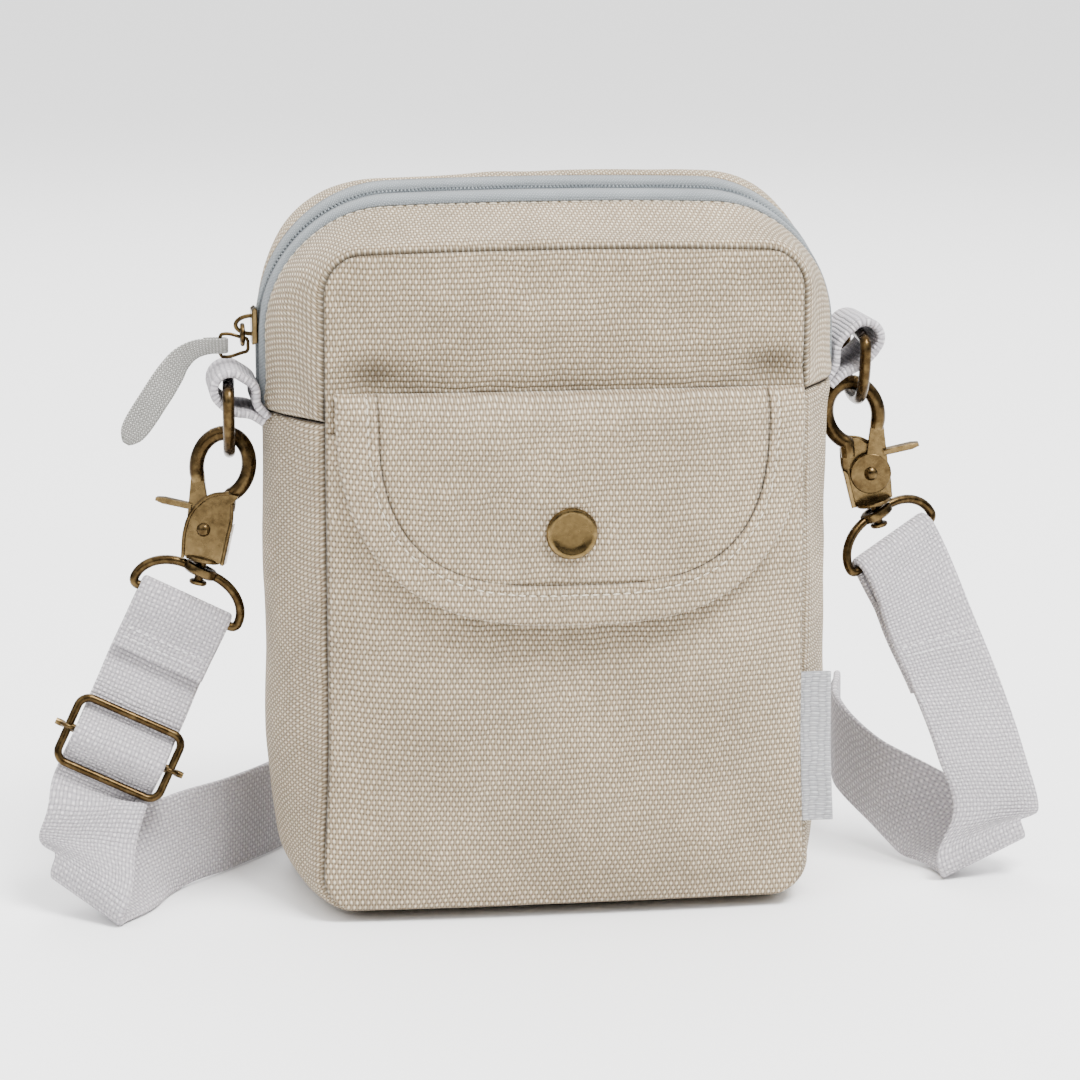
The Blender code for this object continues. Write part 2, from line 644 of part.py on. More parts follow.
def build_zip_pull():
    """Slider at the left end of the chain, its bridge, link and ring, and the cloth pull."""
    measures = section(0.0)
    lift = TAPE_DROP + 2 * GAP
    edge = [float(side_x(measures, "left", SLIDER_HEIGHT + SLIDER_LENGTH * share))
            for share in (-0.5, 0.0, 0.5)]
    side = -max(edge) - lift
    body = box("zip_slider", (SLIDER_THICKNESS, SLIDER_WIDTH, SLIDER_LENGTH),
               (side - SLIDER_THICKNESS / 2, 0, SLIDER_HEIGHT), "brass")
    rise = SLIDER_LENGTH * 0.25
    root = side - SLIDER_THICKNESS * 0.8
    bridge = [(root - BRIDGE_REACH * math.sin(a), 0.0, SLIDER_HEIGHT + rise * math.cos(a))
              for a in np.linspace(0, math.pi, 9)]
    combine(body, [solid_wire("bridge", bridge, BRIDGE_WIRE, "brass")], "UNION")
    reach = 0.6
    link_x = root - BRIDGE_REACH * reach
    leg = SLIDER_HEIGHT - rise * math.sqrt(1 - reach**2)
    hole = LINK_RADIUS - LINK_WIRE / 2
    link_z = leg + BRIDGE_WIRE / 2 + 2 * GAP - hole
    link = [(link_x, LINK_RADIUS * math.cos(a), link_z + LINK_RADIUS * math.sin(a))
            for a in np.linspace(0, 2 * math.pi, 17)[:-1]]
    tube_loop("zip_link", link, LINK_WIRE, "brass")
    middle = link_z - hole + 2 * GAP + PULL_RING_WIRE / 2 - PULL_RING_NARROW
    start, far = PULL_RING_WIRE * 1.5, PULL_RING_WIRE * 1.5 - PULL_RING_LENGTH
    half = [(start, 0.0), (start, 0.55), (start * 0.75, 0.85), (0.0, 1.0)]
    ring = [(link_x + x, 0.0, middle + PULL_RING_NARROW * z) for x, z in half]
    ring += [(link_x + far + x * PULL_RING_WIRE, 0.0, middle + PULL_RING_WIDE * z)
             for x, z in ((0.9, 1.0), (0.3, 0.96), (0.0, 0.82), (0.0, 0.0))]
    ring += [(x, y, 2 * middle - z) for x, y, z in ring[1:-1][::-1]]
    tube_loop("zip_ring", ring, PULL_RING_WIRE, "brass")
    near = np.array([link_x + far, 0.0, middle])
    down = unit(PULL_LEAN)
    across = np.array([0.0, 0.0, 1.0])
    bar = near
    front = np.array([0.0, -1.0, 0.0])
    radius = PULL_RING_WIRE / 2 + GAP + PULL_CLOTH / 2
    layer = PULL_CLOTH / 2 + GAP
    share = PULL_FOLD
    path = [(bar + down * PULL_LENGTH * 0.12 - front * layer, across, share),
            (bar + down * radius * 2 - front * radius, across, share)]
    path += [(bar - front * radius * math.cos(a) - down * radius * math.sin(a), across, share)
             for a in np.linspace(0, math.pi, 7)]
    path += [(bar + down * radius * 1.5 + front * radius, across, share)]
    place = bar + down * radius * 1.5 + front * layer
    steps = 8
    for step, width in zip(range(1, steps + 1), (0.64, 0.80, 0.94, 1.0, 1.0, 1.0, 0.92, 0.60)):
        heading = unit(down + (unit(PULL_HANG) - down) * smoothstep(2.2 * step / steps))
        place = place + heading * (PULL_LENGTH / steps)
        path.append((place, np.array([heading[2], 0.0, -heading[0]]), width))
    rows = [(middle - side * PULL_WIDTH * width / 2, middle + side * PULL_WIDTH * width / 2)
            for middle, side, width in path]
    cloth("pull_tab", rows, PULL_CLOTH, "pull_cloth", centred=True)


def side_places(row):
    """World places of one side's metal, worked down from the tab to the strap ring."""
    side = dict(zip(SIDE_COLUMNS, row))
    sign = side["side"]
    seam = SEAM_HEIGHT_LEFT if sign < 0 else SEAM_HEIGHT_RIGHT
    depth = side["tab_depth"] * WEB_WIDTH
    skin = float(side_x(section(depth / HALF_DEPTH), side["name"], seam))
    bar = Vector((sign * (skin + side["tab_out"] * WEB_WIDTH), depth,
                  seam + side["tab_up"] * WEB_WIDTH))
    low = bar - Vector((0, 0, D_HEIGHT))
    turn = (Matrix.Rotation(math.radians(side["lean"]), 4, "Y")
            @ Matrix.Rotation(math.radians(side["turn"]), 4, "Z"))
    across = side["wire"] * HOOK_HOLE_WIDTH
    top = HOOK_HOLE_HEIGHT / 2 * math.sqrt(1 - (2 * across / HOOK_HOLE_WIDTH) ** 2)
    rest = HOOK_RING_HEIGHT + top - D_WIRE / 2 - 2 * GAP
    eye = low - turn @ Vector((across, 0, rest))
    ring = (Matrix.Translation(eye) @ Matrix.Rotation(math.radians(side["ring_tilt"]), 4, "Y")
            @ Matrix.Rotation(math.radians(side["ring_turn"]), 4, "Z"))
    side.update(seam=seam, skin=skin, bar=bar, depth=depth, hook=Matrix.Translation(eye) @ turn,
                strap_ring=ring)
    return side


def build_tab(side):
    """A short piece of webbing from the cross seam, round the D ring's bar and back."""
    name, sign, bar = side["name"], side["side"], side["bar"]
    radius = D_WIRE / 2 + TAB_SLACK + TAB_THICKNESS / 2
    aim = math.atan2(side["tab_up"], side["tab_out"])
    stand = (TAB_THICKNESS + GAP) * math.sin(aim) + 3 * GAP
    root = Vector((sign * (side["skin"] + stand), 0, side["seam"]))
    out = Vector((bar.x, 0, bar.z)) - root
    length = out.length
    out.normalize()
    up = Vector((-sign * out.z, 0, sign * out.x))
    layer = TAB_THICKNESS / 2 + GAP
    path = [root - up * layer, root + out * length * 0.5 - up * radius * 0.9]
    centre = root + out * length
    path += [centre - up * radius * math.cos(a) + out * radius * math.sin(a)
             for a in np.linspace(0, math.pi, 9)]
    path += [root + out * length * 0.5 + up * radius * 1.05, root + up * layer + out * 2 * GAP]
    half = Vector((0, WEB_WIDTH / 2 - 2 * GAP, 0))
    middle = Vector((0, side["depth"], 0))
    points = [np.array(point + middle) for point in path]
    keys = np.concatenate([[0], np.cumsum([np.linalg.norm(b - a)
                                           for a, b in zip(points, points[1:])])])
    smooth = spline(keys, points, np.linspace(0, keys[-1], 25))
    rows = np.stack([smooth - np.array(half), smooth + np.array(half)], axis=1)
    cloth("tab_loop_" + name, rows, TAB_THICKNESS, "webbing", flip=sign < 0, centred=True)


def build_d_ring(side):
    """A D ring whose straight bar lies in the tab and whose bow hangs below it."""
    turn = math.radians(side["d_turn"])
    along = Vector((math.sin(turn), math.cos(turn), 0))
    corner, half = D_WIRE * 0.9, D_WIDTH / 2
    flat = [(half - corner + corner * math.sin(a), -corner + corner * math.cos(a))
            for a in np.linspace(0, math.pi / 2, 4)]
    bow = [(half * max(math.cos(a), 0.0) ** 0.7, -corner - (D_HEIGHT - corner) * math.sin(a))
           for a in np.linspace(0, math.pi / 2, 8)[1:]]
    right = flat + bow
    outline = right + [(-a, b) for a, b in right[::-1]][1:]
    points = [tuple(side["bar"] + along * a + Vector((0, 0, b))) for a, b in outline]
    tube_loop("d_ring_" + side["name"], points, D_WIRE, "brass")


def build_hook(side):
    """Trigger hook: a body with the fixed arm and post, a sprung lever, and their rivet."""
    name = side["name"]
    radii = ((HOOK_HOLE_WIDTH + HOOK_WIRE) / 2, (HOOK_HOLE_HEIGHT + HOOK_WIRE) / 2)
    centre = (0.0, HOOK_RING_HEIGHT)
    mouth = 117
    arm_foot = HOOK_RING_HEIGHT - radii[1] - HOOK_WIRE * 0.3
    fixed = arc_points(centre, radii, mouth - 2.5, -62, 15) + [(radii[0] * 0.52, 0, arm_foot)]
    body = solid_wire("hook_body_" + name, fixed, HOOK_WIRE, "brass", resolution=3)
    back = -HOOK_PLATE
    front = back - HOOK_PLATE
    hole_foot = HOOK_RING_HEIGHT - HOOK_HOLE_HEIGHT / 2
    wall = RIVET_OFFSET + DISC_DIAMETER / 2 + GAP
    outline = ((-FLANGE * 0.55, FLANGE_HEIGHT), (wall + HOOK_PLATE, FLANGE_HEIGHT),
               (wall + HOOK_PLATE, RIVET_HEIGHT + 0.002), (radii[0] * 0.72, arm_foot),
               (radii[0] * 0.9, hole_foot), (radii[0] * 0.4, hole_foot),
               (-radii[0] * 0.1, hole_foot - HOOK_WIRE * 0.32),
               (-FLANGE * 0.56, RIVET_HEIGHT + DISC_DIAMETER * 0.33),
               (-FLANGE * 0.63, RIVET_HEIGHT - 0.001))
    sheet = plate("sheet", outline, front, back, "brass")
    rim = box("rim", (HOOK_PLATE, HOOK_DEPTH - HOOK_PLATE, RIVET_HEIGHT * 0.95),
              (wall + HOOK_PLATE * 0.4, front + GAP / 2 + (HOOK_DEPTH - HOOK_PLATE) / 2,
               FLANGE_HEIGHT + RIVET_HEIGHT * 0.95 / 2), "brass")
    flange = box("flange", (FLANGE, FLANGE * 0.8, FLANGE_THICKNESS),
                 (0, 0, FLANGE_HEIGHT), "brass")
    head_top = -EYE_HEIGHT / 2 - 0.0011
    post_top = FLANGE_HEIGHT
    post = cylinder("post", POST_DIAMETER / 2, post_top - head_top + POST_HEAD_HEIGHT / 2,
                    (0, 0, (post_top + head_top - POST_HEAD_HEIGHT / 2) / 2), (0, 0, 1), "brass", 14)
    head = cylinder("head", POST_HEAD / 2, POST_HEAD_HEIGHT,
                    (0, 0, head_top - POST_HEAD_HEIGHT / 2), (0, 0, 1), "brass", 18)
    combine(body, [sheet, rim, flange, post, head], "UNION")
    pin = (RIVET_OFFSET, 0, RIVET_HEIGHT)
    bore = cylinder("bore", RIVET_DIAMETER / 2 + RUNNING_FIT, 4 * HOOK_DEPTH, pin, (0, 1, 0), "brass", 16)
    combine(body, [bore], "DIFFERENCE")
    body.matrix_world = side["hook"]

    side_foot = 208
    moving = arc_points(centre, radii, mouth + 2.5, side_foot, 9)
    lever = solid_wire("hook_lever_" + name, moving, HOOK_WIRE, "brass", resolution=3)
    disc_back = back + GAP + DISC_THICKNESS
    foot = moving[-1]
    neck = ((foot[0] - HOOK_WIRE * 0.42, foot[2] + 0.001), (foot[0] + HOOK_WIRE * 0.4, foot[2] + 0.001),
            (RIVET_OFFSET, RIVET_HEIGHT + DISC_DIAMETER * 0.46),
            (RIVET_OFFSET + DISC_DIAMETER * 0.30, RIVET_HEIGHT + DISC_DIAMETER * 0.2),
            (RIVET_OFFSET - DISC_DIAMETER * 0.45, RIVET_HEIGHT),
            (foot[0] - HOOK_WIRE * 0.1, THUMB_HEIGHT - THUMB_THICKNESS / 2))
    shank = plate("neck", neck, back + 1.5 * GAP, disc_back - GAP / 2, "brass")
    disc = cylinder("disc", DISC_DIAMETER / 2, DISC_THICKNESS,
                    (RIVET_OFFSET, (back + GAP + disc_back) / 2, RIVET_HEIGHT), (0, 1, 0),
                    "brass", 28)
    inner = foot[0] + HOOK_WIRE * 0.12
    thumb = box("thumb", (THUMB_REACH + inner, HOOK_WIRE * 0.9, THUMB_THICKNESS),
                ((inner - THUMB_REACH) / 2, 0, THUMB_HEIGHT), "brass")
    combine(lever, [shank, disc, thumb], "UNION")
    bore = cylinder("bore", RIVET_DIAMETER / 2 + RUNNING_FIT, 4 * HOOK_DEPTH, pin, (0, 1, 0), "brass", 16)
    combine(lever, [bore], "DIFFERENCE")
    lever.data.transform(Matrix.Translation(-Vector(pin)))
    lever.matrix_world = side["hook"] @ Matrix.Translation(Vector(pin))

    start, end = front - GAP, disc_back + GAP
    rivet = cylinder("hook_rivet_" + name, RIVET_DIAMETER / 2, end - start + RIVET_HEAD_HEIGHT,
                     (pin[0], (start + end) / 2, pin[2]), (0, 1, 0), "brass", 14)
    heads = [cylinder("rivet_head", RIVET_HEAD / 2, RIVET_HEAD_HEIGHT,
                      (pin[0], place, pin[2]), (0, 1, 0), "brass", 18)
             for place in (start - RIVET_HEAD_HEIGHT / 2, end + RIVET_HEAD_HEIGHT / 2)]
    combine(rivet, heads, "UNION")
    rivet.matrix_world = side["hook"]


def build_strap_ring(side):
    """Half-moon ring that carries the webbing, with the eye that the hook's post turns in."""
    half, drop = STRAP_RING_WIDTH / 2, STRAP_RING_DROP
    start = EYE_WIDTH / 2 - STRAP_RING_WIRE / 2
    corner = STRAP_RING_CORNER
    waist = drop - corner
    upper = [(start + (half - start) * math.sin(a), 0.0, -waist + waist * math.cos(a))
             for a in np.linspace(0, math.pi / 2, 7)]
    lower = [(half - corner + corner * math.cos(a), 0.0, -waist - corner * math.sin(a))
             for a in np.linspace(0, math.pi / 2, 5)][1:]
    right = upper + lower
    points = right + [(-x, y, z) for x, y, z in right[::-1]]
    ring = solid_wire("strap_ring_" + side["name"], points, STRAP_RING_WIRE, "brass")
    curve = bpy.data.curves.new("eye", "CURVE")
    curve.dimensions = "2D"
    curve.fill_mode = "BOTH"
    curve.extrude = EYE_HEIGHT / 2
    strand = curve.splines.new("POLY")
    loop = rounded_loop(EYE_WIDTH, EYE_DEPTH, EYE_DEPTH * 0.42, 5)
    strand.points.add(len(loop) - 1)
    for point, (x, y) in zip(strand.points, loop):
        point.co = (x, y, 0.0, 1.0)
    strand.use_cyclic_u = True
    eye = add_object("eye", mesh_of(add_object("eye_outline", curve, "brass")), "brass")
    combine(ring, [eye], "UNION")
    bore = cylinder("bore", EYE_BORE / 2, 3 * EYE_HEIGHT, (0, 0, 0), (0, 0, 1), "brass", 18)
    combine(ring, [bore], "DIFFERENCE")
    ring.matrix_world = side["strap_ring"]


def ring_frame(side):
    """Middle of the strap ring's bar, and the directions along it, down from it and forward."""
    matrix = side["strap_ring"]
    turn = matrix.to_3x3()
    bar = np.array(matrix @ Vector((0, 0, -STRAP_RING_DROP)))
    return bar, np.array(turn.col[0]), -np.array(turn.col[2]), -np.array(turn.col[1])


def table_rows(table, height):
    """Places and edge directions of a strap table, resting on the floor at the lowest."""
    rows = []
    for x, y, z, *edge in table:
        edge = unit(edge)
        rest = HALF_WEB * abs(edge[2]) + GAP
        place = np.array([x * HALF_WIDTH, y * HALF_DEPTH, max(z * height, rest)])
        rows.append((place, edge))
    return rows


def fold_rows(tip, corner, arriving, leaving):
    """Rows round a floor fold, about the line from its tip to its outer corner."""
    scale = np.array([HALF_WIDTH, HALF_DEPTH, BODY_HEIGHT])
    tip, corner = np.array(tip) * scale, np.array(corner) * scale
    edge = unit(corner - tip)
    middle = tip + edge * HALF_WEB
    start = unit(arriving - edge * np.dot(arriving, edge))
    end = unit(leaving - edge * np.dot(leaving, edge))
    turn = math.acos(np.clip(np.dot(start, end), -1, 1))
    outward = -unit(end - start * np.dot(end, start))
    centre = middle - FOLD_RADIUS * (outward * math.cos(turn / 2) + start * math.sin(turn / 2))
    return [(centre + FOLD_RADIUS * (outward * math.cos(a) + start * math.sin(a)), edge)
            for a in np.linspace(0, turn, 6)]


def adjuster_frame_axes(bar, along, down, forward):
    """Centre and axes of the adjuster, which rides on the webbing below the left ring."""
    free = table_rows(STRAP_LEFT, bar[2])[0][0] - bar
    slope = unit(free)
    across = unit(along - slope * np.dot(along, slope) * 0.5)
    slope = unit(slope - across * np.dot(slope, across))
    front = unit(np.cross(across, slope))
    front = front if np.dot(front, forward) > 0 else -front
    middle = bar + slope * (np.linalg.norm(free) - WEAVE_REACH * ADJUSTER_WIDTH / 2 - ADJUSTER_ROOM)
    return middle, across, slope, front


def strap_route(left, right):
    """Every place and edge direction of the webbing, from its left end to its right end."""
    radius = STRAP_RING_WIRE / 2 + GAP + WEB_THICKNESS / 2
    layer = WEB_THICKNESS / 2 + GAP
    bar, along, down, forward = ring_frame(left)
    rows = [(bar + down * LEFT_END_LENGTH * share + forward * off, -along)
            for share, off in ((1.0, layer), (0.6, layer), (0.25, radius))]
    rows += [(bar + (forward * math.cos(a) - down * math.sin(a)) * radius, -along)
             for a in np.linspace(0, math.pi, 7)]
    rows += [(bar + down * LEFT_END_LENGTH * share - forward * off, -along)
             for share, off in ((0.25, radius), (0.65, layer), (1.10, layer))]
    middle, across, slope, front = adjuster_frame_axes(bar, along, down, forward)
    pitch = ADJUSTER_WIDTH / 2
    weave = ADJUSTER_WIRE / 2 + GAP + WEB_THICKNESS / 2 + GAP / 2
    rows += [(middle + slope * pitch * share
              + front * weave * math.cos(math.pi * min(abs(share) * 1.12, 1.0)), -across)
             for share in (-WEAVE_REACH, *np.linspace(-1.2, 1.2, 13), WEAVE_REACH)]
    rows += table_rows(STRAP_LEFT, bar[2])
    back = table_rows(STRAP_BACK, BODY_HEIGHT)
    rows += fold_rows(FOLD_TIP_LEFT, FOLD_CORNER_LEFT,
                      unit(rows[-1][0] - rows[-2][0]), unit(back[1][0] - back[0][0]))
    rows += back
    climb = table_rows(STRAP_RIGHT, BODY_HEIGHT)
    rows += fold_rows(FOLD_TIP_RIGHT, FOLD_CORNER_RIGHT,
                      unit(back[-1][0] - back[-2][0]), unit(climb[1][0] - climb[0][0]))
    rows += climb
    bar, along, down, forward = ring_frame(right)
    rows += [(bar + down * radius * 2 + forward * radius, along)]
    rows += [(bar + (forward * math.cos(a) - down * math.sin(a)) * radius, along)
             for a in np.linspace(0, math.pi, 7)]
    return rows


def smooth_route(rows, step=0.004):
    """Closer rows along a smooth curve through the route's own rows."""
    places = np.array([place for place, _ in rows])
    edges = np.array([edge for _, edge in rows])
    keys = np.concatenate([[0], np.cumsum(np.linalg.norm(np.diff(places, axis=0), axis=1))])
    at = np.concatenate([np.linspace(a, b, max(1, round((b - a) / step)), endpoint=False)
                         for a, b in zip(keys, keys[1:])] + [[keys[-1]]])
    places, edges = spline(keys, places, at), spline(keys, edges, at)
    return at, places, edges / np.linalg.norm(edges, axis=1)[:, None]


def build_strap(left, right):
    """One length of webbing; its right end returns behind the front layer and is sewn."""
    at, places, edges = smooth_route(strap_route(left, right))
    tangent = np.gradient(places, at, axis=0)
    normal = np.cross(tangent, edges)
    normal /= np.linalg.norm(normal, axis=1)[:, None]
    bar, along, down, forward = ring_frame(right)
    radius = STRAP_RING_WIRE / 2 + GAP + WEB_THICKNESS / 2
    from_bar = np.linalg.norm(places - bar, axis=1)
    main = np.where((np.arange(len(at)) > len(at) / 2) & (from_bar > 3 * radius)
                    & (from_bar < RIGHT_END_LENGTH))[0][::-1]
    behind = np.sign(np.dot(normal[main[0]], forward))
    spread = 2 * radius - WEB_THICKNESS - 2 * GAP
    gap = WEB_THICKNESS + 2 * GAP + spread * np.exp(-(from_bar[main] - 3 * radius) / 0.006)
    returned = places[main] - normal[main] * behind * gap[:, None]
    places = np.concatenate([places, returned])
    edges = np.concatenate([edges, edges[main]])
    normal = np.concatenate([normal, normal[main]])
    lowest = (places[:, 2] - HALF_WEB * np.abs(edges[:, 2])
              - WEB_THICKNESS / 2 * np.abs(normal[:, 2]))
    places[:, 2] += np.maximum(GAP - lowest, 0)
    rows = np.stack([places - edges * HALF_WEB, places + edges * HALF_WEB], axis=1)
    cloth("strap", rows, WEB_THICKNESS, "webbing", centred=True)


def build_adjuster(left):
    """Wire frame with a sliding bar whose eyes ride on the frame's short sides."""
    bar, along, down, forward = ring_frame(left)
    middle, across, slope, front = adjuster_frame_axes(bar, along, down, forward)
    matrix = Matrix.Identity(4)
    for column, axis in enumerate((across, -front, -slope)):
        for line in range(3):
            matrix[line][column] = axis[line]
    matrix.translation = Vector(middle)
    frame = [(a, 0.0, b) for a, b in
             rounded_loop(ADJUSTER_LENGTH, ADJUSTER_WIDTH, ADJUSTER_CORNER)]
    tube_loop("adjuster_frame", frame, ADJUSTER_WIRE, "brass", matrix)
    length = ADJUSTER_LENGTH + 2 * SLIDE_REACH
    rod = cylinder("adjuster_bar", SLIDE_BAR / 2, length, (0, 0, 0), (1, 0, 0), "brass", 14)
    ends = (-ADJUSTER_LENGTH / 2, ADJUSTER_LENGTH / 2)
    eyes = [cylinder("eye", SLIDE_EYE / 2, SLIDE_EYE_LENGTH, (x, 0, 0), (0, 0, 1), "brass", 16)
            for x in ends]
    combine(rod, eyes, "UNION")
    bores = [cylinder("bore", ADJUSTER_WIRE / 2 + GAP, 3 * SLIDE_EYE_LENGTH, (x, 0, 0),
                      (0, 0, 1), "brass", 16) for x in ends]
    combine(rod, bores, "DIFFERENCE")
    rod.matrix_world = matrix


build_body()
POCKET = build_pocket()
FLAP = build_flap()
build_snap(FLAP, POCKET)
build_label()
build_zip_pull()
LEFT, RIGHT = (side_places(row) for row in SIDES)
for SIDE in (LEFT, RIGHT):
    build_tab(SIDE)
    build_d_ring(SIDE)
    build_hook(SIDE)
    build_strap_ring(SIDE)
build_strap(LEFT, RIGHT)
build_adjuster(LEFT)
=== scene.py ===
# %% [markdown]
# # A small canvas crossbody bag
# The bag is a zipped canvas body with a snapped front pocket.  Its webbing strap hangs on two
# trigger hooks and lies on the floor behind it.  Every cell makes one kind of piece and says why
# it is made that way.  Lengths are in metres, +Z is up, and the front faces -Y.

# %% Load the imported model
import math

import bmesh
import bpy
import numpy as np
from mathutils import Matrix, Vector


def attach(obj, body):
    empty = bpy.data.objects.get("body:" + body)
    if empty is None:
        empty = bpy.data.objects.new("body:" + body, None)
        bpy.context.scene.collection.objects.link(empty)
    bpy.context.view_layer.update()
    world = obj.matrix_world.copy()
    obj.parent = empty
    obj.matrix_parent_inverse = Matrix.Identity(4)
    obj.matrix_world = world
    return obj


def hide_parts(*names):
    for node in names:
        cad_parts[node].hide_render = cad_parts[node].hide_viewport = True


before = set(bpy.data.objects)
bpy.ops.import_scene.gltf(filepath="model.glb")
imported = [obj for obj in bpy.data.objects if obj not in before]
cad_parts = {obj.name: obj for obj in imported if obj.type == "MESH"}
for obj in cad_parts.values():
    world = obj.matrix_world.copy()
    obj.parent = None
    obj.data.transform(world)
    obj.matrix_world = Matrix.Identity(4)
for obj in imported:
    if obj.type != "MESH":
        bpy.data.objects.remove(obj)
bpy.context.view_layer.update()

# %% [markdown]
# ## Camera
# The photograph is taken with a long lens, from a little left of the middle and a little above.
# A long lens keeps parallel edges nearly parallel.  The camera is placed by its position and
# turned to a target point, which is easier to read than three angles.

# %% Camera
CAMERA_PLACE = Vector((-0.1260, -0.8749, 0.2627))
CAMERA_TARGET = Vector((-0.0030, 0.0, 0.0910))
CAMERA_LENS = 115.8
camera_data = bpy.data.cameras.new("photo_camera")
camera_data.lens = CAMERA_LENS
camera_data.sensor_width = 36.0
camera = bpy.data.objects.new("photo_camera", camera_data)
camera.location = CAMERA_PLACE
camera.rotation_euler = (CAMERA_TARGET - CAMERA_PLACE).to_track_quat("-Z", "Y").to_euler()
bpy.context.scene.collection.objects.link(camera)
bpy.context.scene.camera = camera
print("camera at", [round(value, 3) for value in CAMERA_PLACE])

# %% [markdown]
# ## Floor and light
# The bag stands on a pale floor in soft light.  Large area lamps give soft shadows: the larger
# the lamp, the softer the edge.  The key comes from the upper right, and a weaker one fills the
# left side.  The surroundings are bright above and dim near the horizon, so that polished metal
# has something dark to mirror.

# %% Floor and light
FLOOR_SIZE = 60.0
FLOOR_COLOUR = (0.97, 0.97, 0.97, 1)
floor_data = bpy.data.meshes.new("floor")
floor_corners = np.array([(-1, -1, 0), (1, -1, 0), (1, 1, 0), (-1, 1, 0)]) * FLOOR_SIZE / 2
floor_data.from_pydata(floor_corners.tolist(), [], [(0, 1, 2, 3)])
floor = bpy.data.objects.new("floor", floor_data)
bpy.context.scene.collection.objects.link(floor)
floor_paint = bpy.data.materials.new("pale_floor")
floor_paint.use_nodes = True
floor_shader = floor_paint.node_tree.nodes["Principled BSDF"]
floor_shader.inputs["Base Color"].default_value = FLOOR_COLOUR
floor_shader.inputs["Roughness"].default_value = 0.9
floor_data.materials.append(floor_paint)

world = bpy.data.worlds.new("studio")
world.use_nodes = True
world_nodes, world_links = world.node_tree.nodes, world.node_tree.links
direction = world_nodes.new("ShaderNodeTexCoord")
height_part = world_nodes.new("ShaderNodeSeparateXYZ")
sky = world_nodes.new("ShaderNodeValToRGB")
world_links.new(direction.outputs["Generated"], height_part.inputs[0])
world_links.new(height_part.outputs["Z"], sky.inputs["Fac"])
world_links.new(sky.outputs["Color"], world_nodes["Background"].inputs["Color"])
# height from straight down (0) to straight up (1), and how bright it is there
SKY_STOPS = ((0.0, 0.16), (0.28, 0.30), (0.55, 1.95), (1.0, 2.9))
while len(sky.color_ramp.elements) < len(SKY_STOPS):
    sky.color_ramp.elements.new(0.5)
for element, (place, grey) in zip(sky.color_ramp.elements, SKY_STOPS):
    element.position = place
    element.color = (grey, grey, grey, 1)
bpy.context.scene.world = world

# name, place, size in metres, power in watts
LAMPS = (
    ("key", (0.58, -0.85, 1.85), 0.7, 84.0),
    ("fill", (-1.1, -1.0, 0.9), 1.1, 6.0),
    ("back", (0.1, 1.3, 1.5), 1.2, 24.0),
)
for lamp_name, lamp_place, lamp_size, lamp_power in LAMPS:
    lamp_data = bpy.data.lights.new(lamp_name, "AREA")
    lamp_data.size = lamp_size
    lamp_data.energy = lamp_power
    lamp = bpy.data.objects.new(lamp_name, lamp_data)
    lamp.location = lamp_place
    lamp.rotation_euler = (CAMERA_TARGET - Vector(lamp_place)).to_track_quat("-Z", "Y").to_euler()
    bpy.context.scene.collection.objects.link(lamp)
print("lamps", len(LAMPS))

# %% [markdown]
# ## Small tools for curves and noise
# A smooth curve through a few points is all that most of the bag needs.  The noise is a random
# grid read with soft blending, so that it has a known size in metres, and its seed fixes it.

# %% Curves and noise
MM = 0.001


def unit(vector):
    """The vector divided by its length, along the last axis."""
    vector = np.asarray(vector, float)
    return vector / np.maximum(np.linalg.norm(vector, axis=-1, keepdims=True), 1e-12)


def smoothstep(value):
    """3t^2 - 2t^3 between 0 and 1."""
    value = np.clip(value, 0.0, 1.0)
    return value * value * (3 - 2 * value)


def spline(keys, values, at):
    """Cubic curve through the values, with slopes from their neighbours' differences."""
    keys = np.asarray(keys, float)
    values = np.asarray(values, float)
    at = np.atleast_1d(np.asarray(at, float))
    slopes = np.gradient(values, keys, axis=0)
    index = np.clip(np.searchsorted(keys, at, side="right") - 1, 0, len(keys) - 2)
    span = (keys[index + 1] - keys[index])[:, None]
    t = (at - keys[index])[:, None] / span
    start, end = values[index], values[index + 1]
    a, b = slopes[index] * span, slopes[index + 1] * span
    return ((2 * t**3 - 3 * t**2 + 1) * start + (t**3 - 2 * t**2 + t) * a
            + (3 * t**2 - 2 * t**3) * end + (t**3 - t**2) * b)


def travelled(points):
    """The distance along a path at each of its points, from 0."""
    return np.concatenate([[0], np.cumsum(np.linalg.norm(np.diff(points, axis=0), axis=1))])


def resampled(points, count):
    """The spline through a path's points, read at equal steps of the distance along it."""
    keys = travelled(points)
    return spline(keys, points, np.linspace(0, keys[-1], count))


def full_turn(count):
    """Equal angles all the way round a circle."""
    return np.linspace(0, 2 * math.pi, count, endpoint=False)


def noise(u, v, cell, seed):
    """Random heights on a grid of cells, blended with a smooth step between them."""
    lattice = np.random.default_rng(seed).uniform(-1, 1, (64, 64))
    a, b = np.asarray(u) / cell + 1000.0, np.asarray(v) / cell + 1000.0
    i, j = np.floor(a).astype(int), np.floor(b).astype(int)
    s, t = smoothstep(a - i), smoothstep(b - j)
    low = lattice[i % 64, j % 64] * (1 - s) + lattice[(i + 1) % 64, j % 64] * s
    high = lattice[i % 64, (j + 1) % 64] * (1 - s) + lattice[(i + 1) % 64, (j + 1) % 64] * s
    return low * (1 - t) + high * t


print("noise sample", round(float(noise(0.01, 0.02, 0.03, 1)), 3))
